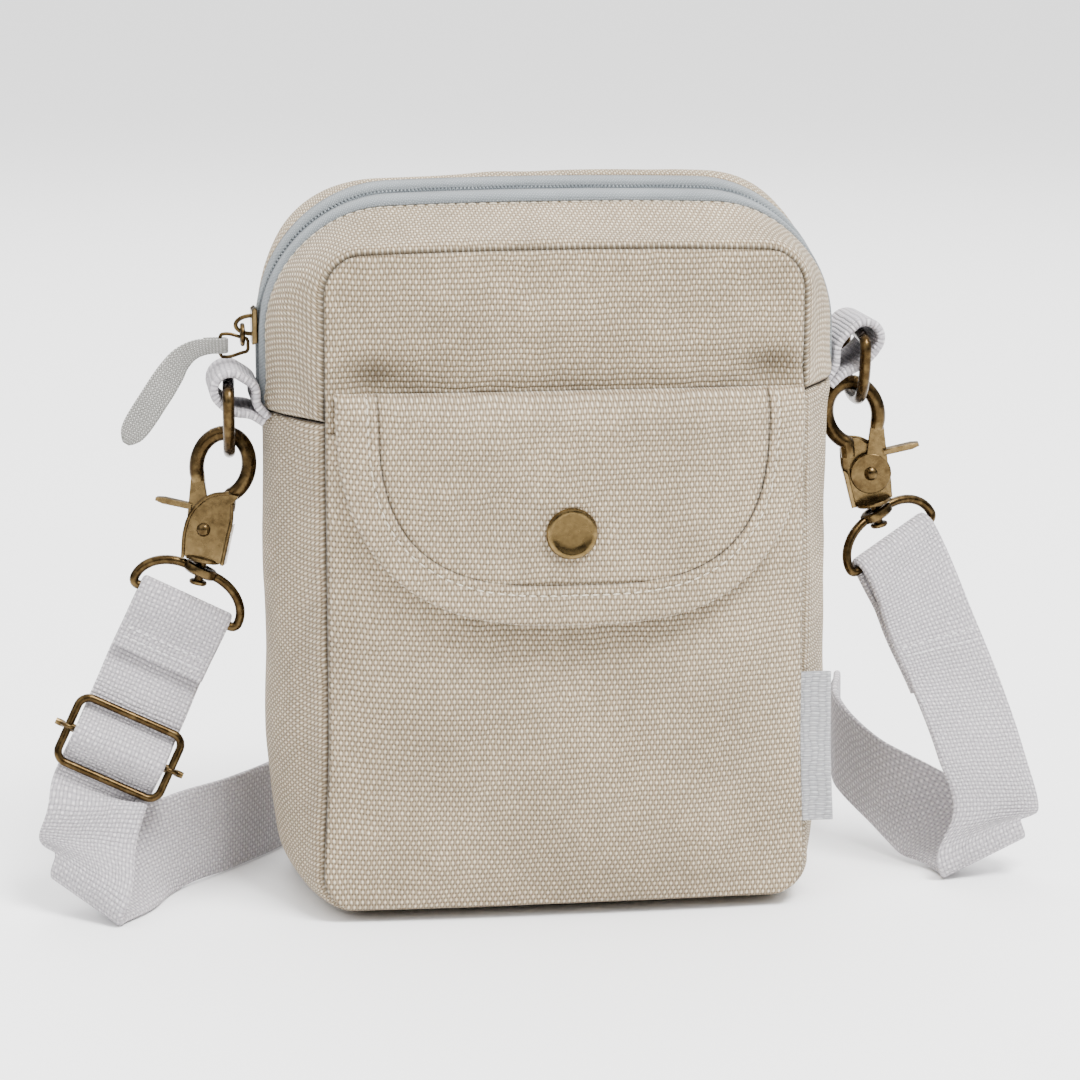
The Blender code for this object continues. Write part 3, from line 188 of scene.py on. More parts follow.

# %% [markdown]
# ## Parts of a mesh
# A part is an array of points with its faces, its own map of the cloth in metres, and a painted
# shade from 0 to 1 that tells the finish how far to darken its colour where shade falls.  A piece
# is one or more parts in one mesh.  There are four kinds of part: a sheet from a grid, a profile
# carried along a path, a turned shape, and a flat plate.  Each gives whole arrays, so nothing
# loops over points.

# %% Parts
def grid_faces(rows, columns, wrap_rows=False, wrap_columns=False):
    """Quads between neighbouring points of a grid, joined at the ends where it wraps."""
    i = np.arange(rows if wrap_rows else rows - 1)[:, None]
    j = np.arange(columns if wrap_columns else columns - 1)[None, :]
    i2, j2 = (i + 1) % rows, (j + 1) % columns
    corners = [i * columns + j, i2 * columns + j, i2 * columns + j2, i * columns + j2]
    return np.stack([corner + np.zeros_like(i + j) for corner in corners], axis=-1).reshape(-1, 4)


def sheet_part(grid, cloth_map, outward, painted_shade=0.0):
    """A grid of points as an open sheet that faces along the outward direction(s)."""
    rows, columns = grid.shape[:2]
    faces = grid_faces(rows, columns)
    across = np.cross(np.gradient(grid, axis=0), np.gradient(grid, axis=1))
    if np.sum(across * outward) < 0:
        faces = faces[:, ::-1]
    return grid.reshape(-1, 3), faces.tolist(), cloth_map.reshape(-1, 2), np.ravel(painted_shade)


def grid_normals(grid, outward):
    """Unit normals of a grid from the cross product of its two slopes."""
    across = unit(np.cross(np.gradient(grid, axis=0), np.gradient(grid, axis=1)))
    return across if np.sum(across * outward) > 0 else -across


def carried_part(places, first, second, profile, closed):
    """A closed profile (a, b) carried along places, at place + a * first + b * second."""
    rows, columns = len(places), len(profile)
    points = (places[:, None] + first[:, None] * profile[None, :, :1]
              + second[:, None] * profile[None, :, 1:])
    faces = grid_faces(rows, columns, closed, True)
    inside = np.cross(points[1, 0] - points[0, 0], points[0, 1] - points[0, 0])
    if np.dot(inside, points[0, 0] - points[0].mean(0)) < 0:
        faces = faces[:, ::-1]
        caps = [list(range(columns)), list(range(rows * columns - 1, (rows - 1) * columns - 1, -1))]
    else:
        caps = [list(range(columns - 1, -1, -1)), list(range((rows - 1) * columns, rows * columns))]
    cloth_map = np.stack(np.broadcast_arrays(profile[None, :, 0], travelled(places)[:, None]),
                         axis=-1)
    return (points.reshape(-1, 3), faces.tolist() + ([] if closed else caps),
            cloth_map.reshape(-1, 2), 0.0)


def round_profile(radius, sides):
    """A circle of (a, b) points: (r cos t, r sin t)."""
    angle = full_turn(sides)
    return np.stack([radius * np.cos(angle), radius * np.sin(angle)], axis=1)


def tube_part(path, flat_normal, radius, closed=True, sides=16):
    """A round wire along a flat path; an open end is closed with a half ball."""
    path = np.asarray(path, float)
    if not closed:
        swell = np.sin(np.linspace(0, math.pi / 2, 5))[:-1]
        reach = radius * (1 - np.cos(np.linspace(math.pi / 2, 0, 5)))[:-1]
        head, tail = unit(path[0] - path[1]), unit(path[-1] - path[-2])
        start = path[0] + head * (radius - reach)[:, None]
        end = (path[-1] + tail * (radius - reach)[:, None])[::-1]
        scale = np.concatenate([np.maximum(swell, 0.05), np.ones(len(path)),
                                np.maximum(swell[::-1], 0.05)])
        path = np.concatenate([start, path, end])
        tangent = unit(np.gradient(path, axis=0))
    else:
        tangent = unit(np.roll(path, -1, axis=0) - np.roll(path, 1, axis=0))
        scale = np.ones(len(path))
    normal = np.broadcast_to(unit(flat_normal), path.shape)
    side = unit(np.cross(tangent, normal))
    return carried_part(path, normal * scale[:, None], side * scale[:, None],
                        round_profile(radius, sides), closed)


def turned_part(profile, centre, axis, sides=40):
    """A profile of (radius, height) turned about an axis; it starts and ends on the axis."""
    profile = np.asarray(profile, float)
    axis = unit(axis)
    first = unit(np.cross(axis, (0.31, 0.17, 0.93) if abs(axis[2]) < 0.9 else (1.0, 0.0, 0.0)))
    second = np.cross(axis, first)
    angle = full_turn(sides)
    spoke = np.cos(angle)[:, None] * first + np.sin(angle)[:, None] * second
    inner = profile[1:-1]
    rings = (np.asarray(centre) + inner[:, :1, None] * spoke[None] + inner[:, 1:, None] * axis)
    count = len(inner) * sides
    poles = np.stack([centre + axis * profile[0, 1], centre + axis * profile[-1, 1]])
    faces = grid_faces(len(inner), sides, False, True).tolist()
    around = np.arange(sides)
    following = (around + 1) % sides
    low = np.stack([np.full(sides, count), around, following], axis=1).tolist()
    last = (len(inner) - 1) * sides
    high = np.stack([np.full(sides, count + 1), last + following, last + around], axis=1).tolist()
    points = np.concatenate([rings.reshape(-1, 3), poles])
    return points, faces + low + high, points[:, [0, 2]].copy(), 0.0


def plate_part(outline, front, back, bevel=0.0002):
    """A flat plate in the local XZ plane between two depths, with its edges broken."""
    outline = np.asarray(outline, float)
    middle = outline.mean(0)
    edge = np.roll(outline, -1, axis=0) - np.roll(outline, 1, axis=0)
    inward = unit(np.stack([-edge[:, 1], edge[:, 0]], axis=1))
    inward *= np.sign(np.sum(inward * (middle - outline)))
    rings = [(outline + inward * bevel, front), (outline, front + bevel),
             (outline, back - bevel), (outline + inward * bevel, back)]
    points = np.concatenate([np.stack([ring[:, 0], np.full(len(ring), depth), ring[:, 1]], axis=1)
                             for ring, depth in rings])
    count = len(outline)
    faces = grid_faces(4, count, False, True).tolist()
    faces += [list(range(count - 1, -1, -1)), list(range(3 * count, 4 * count))]
    return points, faces, points[:, [0, 2]].copy(), 0.0


def moved(part, matrix):
    """The part with its points carried by a 4x4 matrix."""
    points = part[0] @ matrix[:3, :3].T + matrix[:3, 3]
    return (points, *part[1:])


def recalculated(mesh):
    """Turn every face of the closed shells outwards."""
    work = bmesh.new()
    work.from_mesh(mesh)
    bmesh.ops.recalc_face_normals(work, faces=work.faces)
    work.to_mesh(mesh)
    work.free()


def piece(name, parts, finish, nodes, body="bag", wall=0.0, centred=False):
    """One mesh object from its parts, riding on a body and standing for its CAD nodes."""
    offsets = np.cumsum([0] + [len(part[0]) for part in parts])
    points = np.concatenate([part[0] for part in parts])
    faces = [[corner + int(offset) for corner in face]
             for part, offset in zip(parts, offsets) for face in part[1]]
    mesh = bpy.data.meshes.new(name)
    mesh.from_pydata(points.tolist(), [], faces)
    mesh.validate()
    layer = mesh.uv_layers.new(name="cloth")
    corners = np.empty(len(mesh.loops), dtype=np.int32)
    mesh.loops.foreach_get("vertex_index", corners)
    cloth_map = np.concatenate([part[2] for part in parts])
    layer.data.foreach_set("uv", cloth_map[corners].astype(np.float32).ravel())
    # painted shade: each point's share of darkening, which the woven finishes mix into their colour
    painted_shades = [np.broadcast_to(np.ravel(part[3]), len(part[0])) for part in parts]
    painted_shade = mesh.attributes.new("painted_shade", "FLOAT", "POINT")
    painted_shade.data.foreach_set("value", np.concatenate(painted_shades).astype(np.float32))
    mesh.polygons.foreach_set("use_smooth", np.ones(len(mesh.polygons), dtype=bool))
    if wall == 0.0:
        recalculated(mesh)
    mesh.materials.append(finish)
    mesh.update()
    obj = bpy.data.objects.new(name, mesh)
    bpy.context.scene.collection.objects.link(obj)
    if wall:
        shell = obj.modifiers.new("Wall", "SOLIDIFY")
        shell.thickness = wall
        shell.offset = 0.0 if centred else -1.0
    else:
        corner = obj.modifiers.new("Sharp", "EDGE_SPLIT")
        corner.split_angle = math.radians(38)
        corner.use_edge_sharp = False
    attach(obj, body)
    if nodes:
        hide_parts(*nodes)
    print(name, len(points), "points")
    return obj


# %% [markdown]
# ## Woven finishes
# A plain weave is a chequer of threads: where sin(u) times sin(v) is above zero the thick light
# thread lies on top, and below zero the thin one does.  Where both sines are near zero is the
# dark hole between four threads.  One formula gives both colour and height, so the light catches
# the threads where the colour shows them.  The map is in metres, so the pitch is a real size.

# %% Node helpers
def new_material(name):
    """A node material, with its nodes and links."""
    material = bpy.data.materials.new(name)
    material.use_nodes = True
    return material, material.node_tree.nodes, material.node_tree.links


def formula(nodes, links, operation, *inputs):
    """A Math node whose inputs are sockets or numbers."""
    node = nodes.new("ShaderNodeMath")
    node.operation = operation
    for socket, value in zip(node.inputs, inputs):
        if isinstance(value, (int, float)):
            socket.default_value = value
        else:
            links.new(value, socket)
    return node.outputs[0]


def ramp(nodes, links, factor, stops):
    """A Color Ramp with (place, colour) stops."""
    node = nodes.new("ShaderNodeValToRGB")
    links.new(factor, node.inputs["Fac"])
    while len(node.color_ramp.elements) < len(stops):
        node.color_ramp.elements.new(0.5)
    for element, (place, colour) in zip(node.color_ramp.elements, stops):
        element.position = place
        element.color = (*colour, 1.0)
    return node.outputs["Color"]


def mixed(nodes, links, blend, factor, first, second):
    """A colour Mix node; factor and colours are sockets or values."""
    node = nodes.new("ShaderNodeMix")
    node.data_type = "RGBA"
    node.blend_type = blend
    for socket, value in ((node.inputs["Factor"], factor), (node.inputs[6], first),
                          (node.inputs[7], second)):
        if isinstance(value, (int, float)):
            socket.default_value = value
        elif isinstance(value, tuple):
            socket.default_value = (*value, 1.0)
        else:
            links.new(value, socket)
    return node.outputs[2]


def speckle(nodes, links, vector, scale, detail=2.0):
    """A Noise Texture's grey value."""
    node = nodes.new("ShaderNodeTexNoise")
    node.inputs["Scale"].default_value = scale
    node.inputs["Detail"].default_value = detail
    links.new(vector, node.inputs["Vector"])
    return node.outputs["Fac"]


def bumped(nodes, links, height, distance):
    """A Bump node on the shader's Normal, where a height of 1 stands up by the distance."""
    node = nodes.new("ShaderNodeBump")
    node.inputs["Distance"].default_value = distance
    node.inputs["Strength"].default_value = 1.0
    links.new(height, node.inputs["Height"])
    links.new(node.outputs["Normal"], nodes["Principled BSDF"].inputs["Normal"])


# %% [markdown]
# ## One weave for every cloth
# Canvas, webbing, tape and ribbon differ in pitch and colour, so one function makes them all.
# The map wanders a little by slow noise, as real threads do, before the two sines read it.

# %% Weave
def woven(name, pitch, ground, light, gap, mottle, relief, herringbone=False):
    """Weave on the cloth map: sin(u) sin(v) > 0 is a light thread, and both near 0 is a gap.

    Ground, light and gap are its colours.  Each row of mottle is a patch size and its strength.
    """
    material, nodes, links = new_material(name)
    cloth = nodes.new("ShaderNodeUVMap")
    cloth.uv_map = "cloth"
    split = nodes.new("ShaderNodeSeparateXYZ")
    links.new(cloth.outputs["UV"], split.inputs[0])
    u, v = split.outputs[0], split.outputs[1]
    slow = speckle(nodes, links, cloth.outputs["UV"], 0.10 / pitch[1])
    quick = speckle(nodes, links, cloth.outputs["UV"], 0.45 / pitch[1])
    wander = formula(nodes, links, "MULTIPLY_ADD", quick, 0.28, slow)
    u = formula(nodes, links, "MULTIPLY_ADD", wander, pitch[0] * 1.8, u)
    v = formula(nodes, links, "MULTIPLY_ADD", wander, pitch[1] * -1.2, v)
    if herringbone:
        mirrored = formula(nodes, links, "ABSOLUTE", u)
        u, v = (formula(nodes, links, "ADD", mirrored, v),
                formula(nodes, links, "SUBTRACT", mirrored, v))
    sine_u, sine_v = (formula(nodes, links, "SINE", formula(nodes, links, "MULTIPLY", way,
                                                            math.pi / size))
                      for way, size in ((u, pitch[0]), (v, pitch[1])))
    product = formula(nodes, links, "MULTIPLY", sine_u, sine_v)
    over = formula(nodes, links, "MAXIMUM", product, 0.0)
    over = formula(nodes, links, "MULTIPLY", over, formula(nodes, links, "ABSOLUTE", sine_v))
    over = formula(nodes, links, "POWER", over, 0.75)
    energy = formula(nodes, links, "MULTIPLY_ADD", sine_u, sine_u,
                     formula(nodes, links, "MULTIPLY", sine_v, sine_v))
    hole = formula(nodes, links, "MAXIMUM",
                   formula(nodes, links, "MULTIPLY_ADD", energy, -1.25, 1.0), 0.0)
    strand = speckle(nodes, links, cloth.outputs["UV"], 0.6 / pitch[0], 1.0)
    over = formula(nodes, links, "MULTIPLY", over,
                   formula(nodes, links, "MULTIPLY_ADD", strand, 1.1, 0.45))
    colour = mixed(nodes, links, "MIX", over, ground, light)
    colour = mixed(nodes, links, "MIX", hole, colour, gap)
    for scale, amount in mottle:
        patch = ramp(nodes, links, speckle(nodes, links, cloth.outputs["UV"], scale, 3.0),
                     ((0.3, (1 - amount,) * 3), (0.7, (1 + amount * 0.4,) * 3)))
        colour = mixed(nodes, links, "MULTIPLY", 1.0, colour, patch)
    # painted shade: the point attribute darkens the weave towards a quarter of its gap colour in
    # seams, grooves and dents
    painted_shade = nodes.new("ShaderNodeAttribute")
    painted_shade.attribute_name = "painted_shade"
    shade = tuple(0.25 * value for value in gap)
    colour = mixed(nodes, links, "MIX", painted_shade.outputs["Fac"], colour, shade)
    shader = nodes["Principled BSDF"]
    links.new(colour, shader.inputs["Base Color"])
    shader.inputs["Roughness"].default_value = 0.92
    shader.inputs["Sheen Weight"].default_value = 0.12
    shader.inputs["Specular IOR Level"].default_value = 0.2
    fuzz = speckle(nodes, links, cloth.outputs["UV"], 2.5 / pitch[0])
    height = formula(nodes, links, "POWER", formula(nodes, links, "ABSOLUTE", product), 0.7)
    height = formula(nodes, links, "MULTIPLY_ADD", over, 0.7, height)
    height = formula(nodes, links, "MULTIPLY_ADD", fuzz, 0.35, height)
    bumped(nodes, links, height, relief)
    return material


CANVAS = woven("beige_canvas", (0.70 * MM, 1.34 * MM), (0.325, 0.248, 0.158), (0.88, 0.775, 0.60),
               (0.10, 0.068, 0.036), ((30.0, 0.20), (260.0, 0.12), (1500.0, 0.18)), 0.24 * MM)
WEBBING = woven("lilac_webbing", (1.0 * MM, 1.1 * MM), (0.45, 0.425, 0.445), (0.74, 0.70, 0.715),
                (0.30, 0.28, 0.30), ((40.0, 0.10), (1400.0, 0.14)), 0.30 * MM)
ZIP_CLOTH = woven("zip_tape_cloth", (0.45 * MM, 0.6 * MM), (0.20, 0.22, 0.23), (0.31, 0.33, 0.34),
                  (0.12, 0.135, 0.15), ((60.0, 0.10),), 0.10 * MM)
COIL = woven("zip_coil_nylon", (0.5 * MM, 0.9 * MM), (0.16, 0.185, 0.20), (0.33, 0.36, 0.375),
             (0.035, 0.042, 0.05), ((60.0, 0.10),), 0.05 * MM)
HERRINGBONE = woven("pull_tape_cloth", (0.8 * MM, 0.8 * MM), (0.26, 0.255, 0.235),
                    (0.62, 0.61, 0.58), (0.16, 0.155, 0.14), ((60.0, 0.14),), 0.22 * MM,
                    herringbone=True)
RIBBON = woven("ribbed_ribbon", (1.9 * MM, 0.65 * MM), (0.34, 0.34, 0.35), (0.54, 0.54, 0.55),
               (0.27, 0.27, 0.28), ((70.0, 0.08),), 0.15 * MM)
print("woven finishes ready")

# %% [markdown]
# ## Metal and thread
# The fittings are antique brass: a dark brown film that has rubbed bright along the edges.
# Pointiness is high on edges and low in corners, so it says where the film has worn.

# %% Metal and thread
def rubbed_brass(name, dark, bright):
    """Dark film over bright metal, worn where pointiness and a noise are high."""
    half_worn = tuple(0.65 * a + 0.35 * b for a, b in zip(dark, bright))
    material, nodes, links = new_material(name)
    place = nodes.new("ShaderNodeTexCoord")
    shape = nodes.new("ShaderNodeNewGeometry")
    wear = speckle(nodes, links, place.outputs["Object"], 420.0, 4.0)
    worn = formula(nodes, links, "MULTIPLY_ADD", wear, 0.16, shape.outputs["Pointiness"])
    colour = ramp(nodes, links, worn, ((0.60, dark), (0.71, half_worn), (0.86, bright)))
    stain = ramp(nodes, links, speckle(nodes, links, place.outputs["Object"], 900.0, 3.0),
                 ((0.3, (0.72, 0.72, 0.72)), (0.7, (1.0, 1.0, 1.0))))
    colour = mixed(nodes, links, "MULTIPLY", 1.0, colour, stain)
    shader = nodes["Principled BSDF"]
    links.new(colour, shader.inputs["Base Color"])
    shader.inputs["Metallic"].default_value = 1.0
    rough = ramp(nodes, links, wear, ((0.3, (0.20,) * 3), (0.7, (0.36,) * 3)))
    links.new(rough, shader.inputs["Roughness"])
    bumped(nodes, links, wear, 0.04 * MM)
    return material


def plain_thread(name, colour):
    """Twisted thread: fine slanting waves on the object's own coordinates."""
    material, nodes, links = new_material(name)
    place = nodes.new("ShaderNodeTexCoord")
    twist = speckle(nodes, links, place.outputs["Object"], 2600.0)
    shadow = tuple(0.72 * value for value in colour)
    shade = ramp(nodes, links, twist, ((0.3, shadow), (0.7, colour)))
    links.new(shade, nodes["Principled BSDF"].inputs["Base Color"])
    nodes["Principled BSDF"].inputs["Roughness"].default_value = 0.8
    bumped(nodes, links, twist, 0.05 * MM)
    return material


BRASS = rubbed_brass("antique_brass", (0.046, 0.028, 0.011), (0.50, 0.345, 0.150))
CAP_BRASS = rubbed_brass("cap_brass", (0.105, 0.070, 0.028), (0.68, 0.47, 0.20))
THREAD = plain_thread("beige_thread", (0.66, 0.58, 0.45))
GREY_THREAD = plain_thread("grey_thread", (0.66, 0.64, 0.65))
print("metal and thread ready")

# %% [markdown]
# ## Stitches
# A seam is a row of short thread bars.  Each bar is a small six-sided lens shape with few
# faces, because there are hundreds.  All of a seam's bars are worked out at once from the
# points, directions and normals of its line.

# %% Stitches
STITCH_WIDTH = 0.55 * MM
STITCH_SHARE = 0.72
STITCH_PITCH = 2.6 * MM
STITCH_SIDES = 6
STITCH_RINGS = np.array([-0.96, -0.55, 0.0, 0.55, 0.96])


def stitch_part(path, normals, pitch):
    """Lens-shaped bars along a path: radius r * sqrt(1 - t^2) at share t of half the length."""
    path = np.asarray(path, float)
    along = travelled(path)
    count = max(1, int(along[-1] / pitch))
    at = (np.arange(count) + 0.5) * along[-1] / count
    centre = np.stack([np.interp(at, along, path[:, k]) for k in range(3)], axis=1)
    normal = unit(np.stack([np.interp(at, along, normals[:, k]) for k in range(3)], axis=1))
    slope = np.gradient(path, along, axis=0)
    tangent = unit(np.stack([np.interp(at, along, slope[:, k]) for k in range(3)], axis=1))
    side = np.cross(normal, tangent)
    angle = full_turn(STITCH_SIDES)
    share = STITCH_RINGS[None, :, None, None]
    swell = np.sqrt(1 - share**2) * STITCH_WIDTH / 2
    points = (centre[:, None, None] + tangent[:, None, None] * share
              * pitch * STITCH_SHARE / 2
              + swell * (np.cos(angle)[None, None, :, None] * side[:, None, None]
                         + np.sin(angle)[None, None, :, None] * normal[:, None, None]))
    rings = len(STITCH_RINGS)
    start = (np.arange(count) * rings * STITCH_SIDES)[:, None]
    wall = grid_faces(rings, STITCH_SIDES, False, True)
    faces = (wall[None] + start[:, :, None]).reshape(-1, 4).tolist()
    first = np.arange(STITCH_SIDES)
    faces += (start + first[::-1]).tolist()
    faces += (start + (rings - 1) * STITCH_SIDES + first).tolist()
    points = points.reshape(-1, 3)
    return points, faces, points[:, [0, 2]].copy(), 0.0


print("stitch bars ready")

# %% [markdown]
# ## The body's outline
# From front to back the outline grows, stays wide over the zip and shrinks again.  A table holds
# it at eight depths as shares of the sizes, and a spline fills in the rest.  The outline is split
# at the cross seams: the lower band goes round the base and the upper bands carry the zip.

# %% Body outline
BODY_HEIGHT = 0.185
HALF_WIDTH = 0.149 / 2
HALF_DEPTH = 0.062 / 2
BASE_LIFT = 3 * MM
SHOULDER = 33 * MM
BASE_CORNER = 12 * MM
CROWN = 2.2 * MM
TUCK_HEIGHT = 50 * MM
SEAM_LEFT = 0.128
SEAM_RIGHT = 0.134
CANVAS_WALL = 1.5 * MM
GAP = 0.3 * MM
# depth, left, right, top, base lift, shoulder, base corner, tuck
SECTIONS = np.array((
    (-1.00, 0.819, 0.800, 0.922, 1.00, 0.30, 0.75, -0.030),
    (-0.78, 0.888, 0.862, 0.936, 0.40, 0.44, 0.90, 0.010),
    (-0.50, 0.950, 0.920, 0.953, 0.00, 0.70, 1.15, 0.040),
    (-0.17, 0.990, 0.952, 0.973, 0.00, 0.95, 1.35, 0.050),
    (0.17, 0.997, 0.958, 0.990, 0.00, 1.00, 1.35, 0.050),
    (0.45, 0.980, 0.948, 0.999, 0.00, 0.90, 1.25, 0.040),
    (0.75, 0.920, 0.895, 0.985, 0.40, 0.56, 1.00, 0.010),
    (1.00, 0.840, 0.825, 0.958, 1.00, 0.36, 0.75, -0.020),
))


def section(depth):
    """The outline's measures at depth shares, each as a column of metres."""
    rows = spline(SECTIONS[:, 0], SECTIONS[:, 1:], depth)
    left, right, top, lift, shoulder, base, tuck = (rows[:, k:k + 1] for k in range(7))
    return {"left": left * HALF_WIDTH, "right": right * HALF_WIDTH,
            "top": top * BODY_HEIGHT - CROWN, "base": np.maximum(lift, 0) * BASE_LIFT,
            "shoulder": shoulder * SHOULDER, "foot": base * BASE_CORNER, "tuck": tuck}


def side_x(measures, side, z):
    """Half width at height z: the straight side less its two rounded corners."""
    width = measures[side] * (1 - measures["tuck"] * smoothstep(1 - z / TUCK_HEIGHT))
    for radius, into in ((measures["shoulder"], z - (measures["top"] - measures["shoulder"])),
                         (measures["foot"], measures["base"] + measures["foot"] - z)):
        into = np.clip(into, 0, radius)
        width = width - (radius - np.sqrt(np.maximum(radius**2 - into**2, 0)))
    return width


def crown(x, z):
    """Raise the middle of the top by CROWN * (1 - x^2), only near the top."""
    rise = CROWN * (1 - np.minimum(np.abs(x) / HALF_WIDTH, 1.0) ** 2)
    return z + rise * smoothstep((z - SEAM_RIGHT) / (BODY_HEIGHT - SEAM_RIGHT - CROWN))


# distances from a seam that carry its roll, in metres
FINE = np.array([0.0, 0.12, 0.3, 0.55, 0.85, 1.2, 1.6, 2.1, 2.8, 3.6, 4.6]) * MM


def spaced(length, step, both=True):
    """Shares from 0 to 1 of a length, close together at the start (and end), even between."""
    last = length - FINE[-1] if both else length
    even = np.linspace(FINE[-1], last, max(3, round((last - FINE[-1]) / step)))
    return np.concatenate([FINE[:-1], even, (length - FINE[::-1])[1:] if both else []]) / length


def band_outline(depth, lower, step=1.8 * MM, corner=22, run=70):
    """(x, z) of the lower or upper band at each depth, from its left end to its right."""
    m = section(depth)
    t = spaced(110 * MM if lower else 30 * MM, step, both=False)[None, :]
    a = np.linspace(0, math.pi / 2, corner)[None, 1:]
    halves = []
    for side, sign, seam in (("left", -1, SEAM_LEFT), ("right", 1, SEAM_RIGHT)):
        if lower:
            spring = m["base"] + m["foot"]
            heights = np.concatenate([seam - GAP + (spring - seam + GAP) * t,
                                      spring - m["foot"] * np.sin(a)], axis=1)
        else:
            spring = m["top"] - m["shoulder"]
            heights = np.concatenate([seam + (spring - seam) * t,
                                      spring + m["shoulder"] * np.sin(a)], axis=1)
        halves.append((sign * side_x(m, side, heights), heights))
    (x1, z1), (x2, z2) = halves
    t = np.linspace(0, 1, run)[None, 1:-1]
    x = np.concatenate([x1, x1[:, -1:] + (x2[:, -1:] - x1[:, -1:]) * t, x2[:, ::-1]], axis=1)
    z = np.concatenate([z1, z1[:, -1:] + (z2[:, -1:] - z1[:, -1:]) * t, z2[:, ::-1]], axis=1)
    return (x, z) if lower else (x, crown(x, z))


CENTRE = np.array([0.0, 0.0, BODY_HEIGHT / 2])
print("outline width", round(float(section([0.0])["left"][0, 0]), 4))

# %% [markdown]
# ## The bands round the body
# Each band is a sheet over (arc length, depth).  It is lifted along its normals by slow noise
# for the cloth's waves.  At a seam the cloth turns inwards through a quarter round, and the fold
# of cloth behind it makes a soft puff just beside.  Two such edges meet in a narrow groove.

# %% Bands
ROLL = 1.2 * MM
SEAM_INSET = 0.15 * MM
PUFF_PLACE = 2.4 * MM
PUFF_REACH = 2.6 * MM
FLOOR_GAP = 0.2 * MM


def seam_relief(distance, puff):
    """A quarter round of radius ROLL down into the seam, and a low puff just beside it."""
    into = 1 - np.clip(distance / ROLL, 0, 1)
    return (puff * np.exp(-((distance - PUFF_PLACE) / PUFF_REACH) ** 2)
            - ROLL * (1 - np.sqrt(1 - into**2)))


def seam_painted_shade(distance, strength=0.72, reach=0.45 * MM):
    """Painted shade s * exp(-(d / reach)^2) that fades away from a seam."""
    return strength * np.exp(-(distance / reach) ** 2)


def grid_distances(grid):
    """The distance along each row of a grid, measured from the middle of the row."""
    length = np.linalg.norm(np.diff(grid, axis=1), axis=2)
    along = np.concatenate([np.zeros((len(grid), 1)), np.cumsum(length, axis=1)], axis=1)
    return along - along[:, -1:] / 2


def band(name, start, end, lower, nodes, step, finish, wall, sink=0.0, waves=1.0, seams=True,
         relief=None):
    """A band of the body between two depths, with waves and seam relief along its normals."""
    y = start + (end - start) * spaced(end - start, step)
    x, z = band_outline(y / HALF_DEPTH, lower)
    grid = np.stack([x, np.broadcast_to(y[:, None], x.shape), z], axis=-1)
    outward = grid - CENTRE * np.array([1, 0, 1])
    outward[..., 1] = 0
    normal = grid_normals(grid, outward)
    middle = grid_distances(grid)
    depth = grid[..., 1]
    quiet = smoothstep(np.minimum(depth - start, end - depth) / (5 * MM))
    lift = waves * quiet * (0.6 * MM * noise(middle, depth, 26 * MM, 5)
                            + 0.25 * MM * noise(middle, depth * 0.6, 10 * MM, 8))
    painted_shade = np.zeros_like(lift)
    if seams:
        edge = middle[:, -1:] - np.abs(middle)
        outer = np.minimum(np.abs(depth - BAND_EDGE), np.abs(depth + BAND_EDGE))
        nearest = np.minimum(edge, outer)
        lift = lift + seam_relief(nearest, 0.5 * MM)
        # painted shade darkening the seam groove
        painted_shade = seam_painted_shade(nearest)
    if relief is not None:
        extra, shade = relief(middle, depth)
        lift, painted_shade = lift + extra, np.maximum(painted_shade, shade)
    grid = grid + normal * (lift - sink)[..., None]
    grid[..., 2] = np.maximum(grid[..., 2], FLOOR_GAP)
    cloth_map = np.stack([middle, depth], axis=-1)
    piece(name, [sheet_part(grid, cloth_map, normal, painted_shade)], finish, nodes, wall=wall)
    return grid, normal, depth


CHAIN_WIDTH = 5.6 * MM
TAPE_EDGE = CHAIN_WIDTH / 2
STRIP_EDGE = TAPE_EDGE + 2.8 * MM
BAND_EDGE = HALF_DEPTH - 0.25 * MM
band("gusset_cloth", -BAND_EDGE, BAND_EDGE, True, ["lower_gusset"], 1.2 * MM, CANVAS, CANVAS_WALL)


STITCH_LINE = 2.4 * MM
STITCH_GROOVE = 0.5 * MM


def folded_edge(side):
    """A strip's zip edge: rounded down at the fold, with the stitched groove beside it."""
    def relief(_, depth):
        """Height and painted shade from the distance to the fold alone."""
        distance = np.abs(depth - side * STRIP_EDGE)
        groove = np.exp(-((distance - STITCH_LINE) / STITCH_GROOVE) ** 2)
        # painted shade at the fold and in the stitched groove beside it
        return (seam_relief(distance, 0.0) * 0.7 + 0.4 * MM - 0.3 * MM * groove,
                seam_painted_shade(distance, 0.5, 0.35 * MM) + 0.22 * groove)
    return relief


for name, start, end, side in (("front", -BAND_EDGE, -STRIP_EDGE, -1),
                               ("back", STRIP_EDGE, BAND_EDGE, 1)):
    strip, normal, depth = band(name + "_strip_cloth", start, end, False, ["top_strip_" + name],
                                1.1 * MM, CANVAS, CANVAS_WALL, relief=folded_edge(side))
    row = int(np.argmin(np.abs(np.abs(depth[:, 0]) - STRIP_EDGE - STITCH_LINE)))
    piece(name + "_strip_stitches", [stitch_part(strip[row], normal[row], STITCH_PITCH)], THREAD,
          [])

# %% [markdown]
# ## Zip
# The tapes are two narrow bands a little under the strips.  The chain is a band whose height has
# a rib for each turn of the coil and a groove where the two coils meet.  Fine dotted lines along
# it are the shade between the coil and its stitching.

# %% Zip
COIL_PITCH = 0.95 * MM
COIL_GROOVE = -0.7 * MM
# place across the chain, shade, and how far the line is broken into dots
COIL_LINES = ((-2.1 * MM, 0.8, 0.6), (0.9 * MM, 0.6, 0.4), (2.1 * MM, 0.8, 0.6))


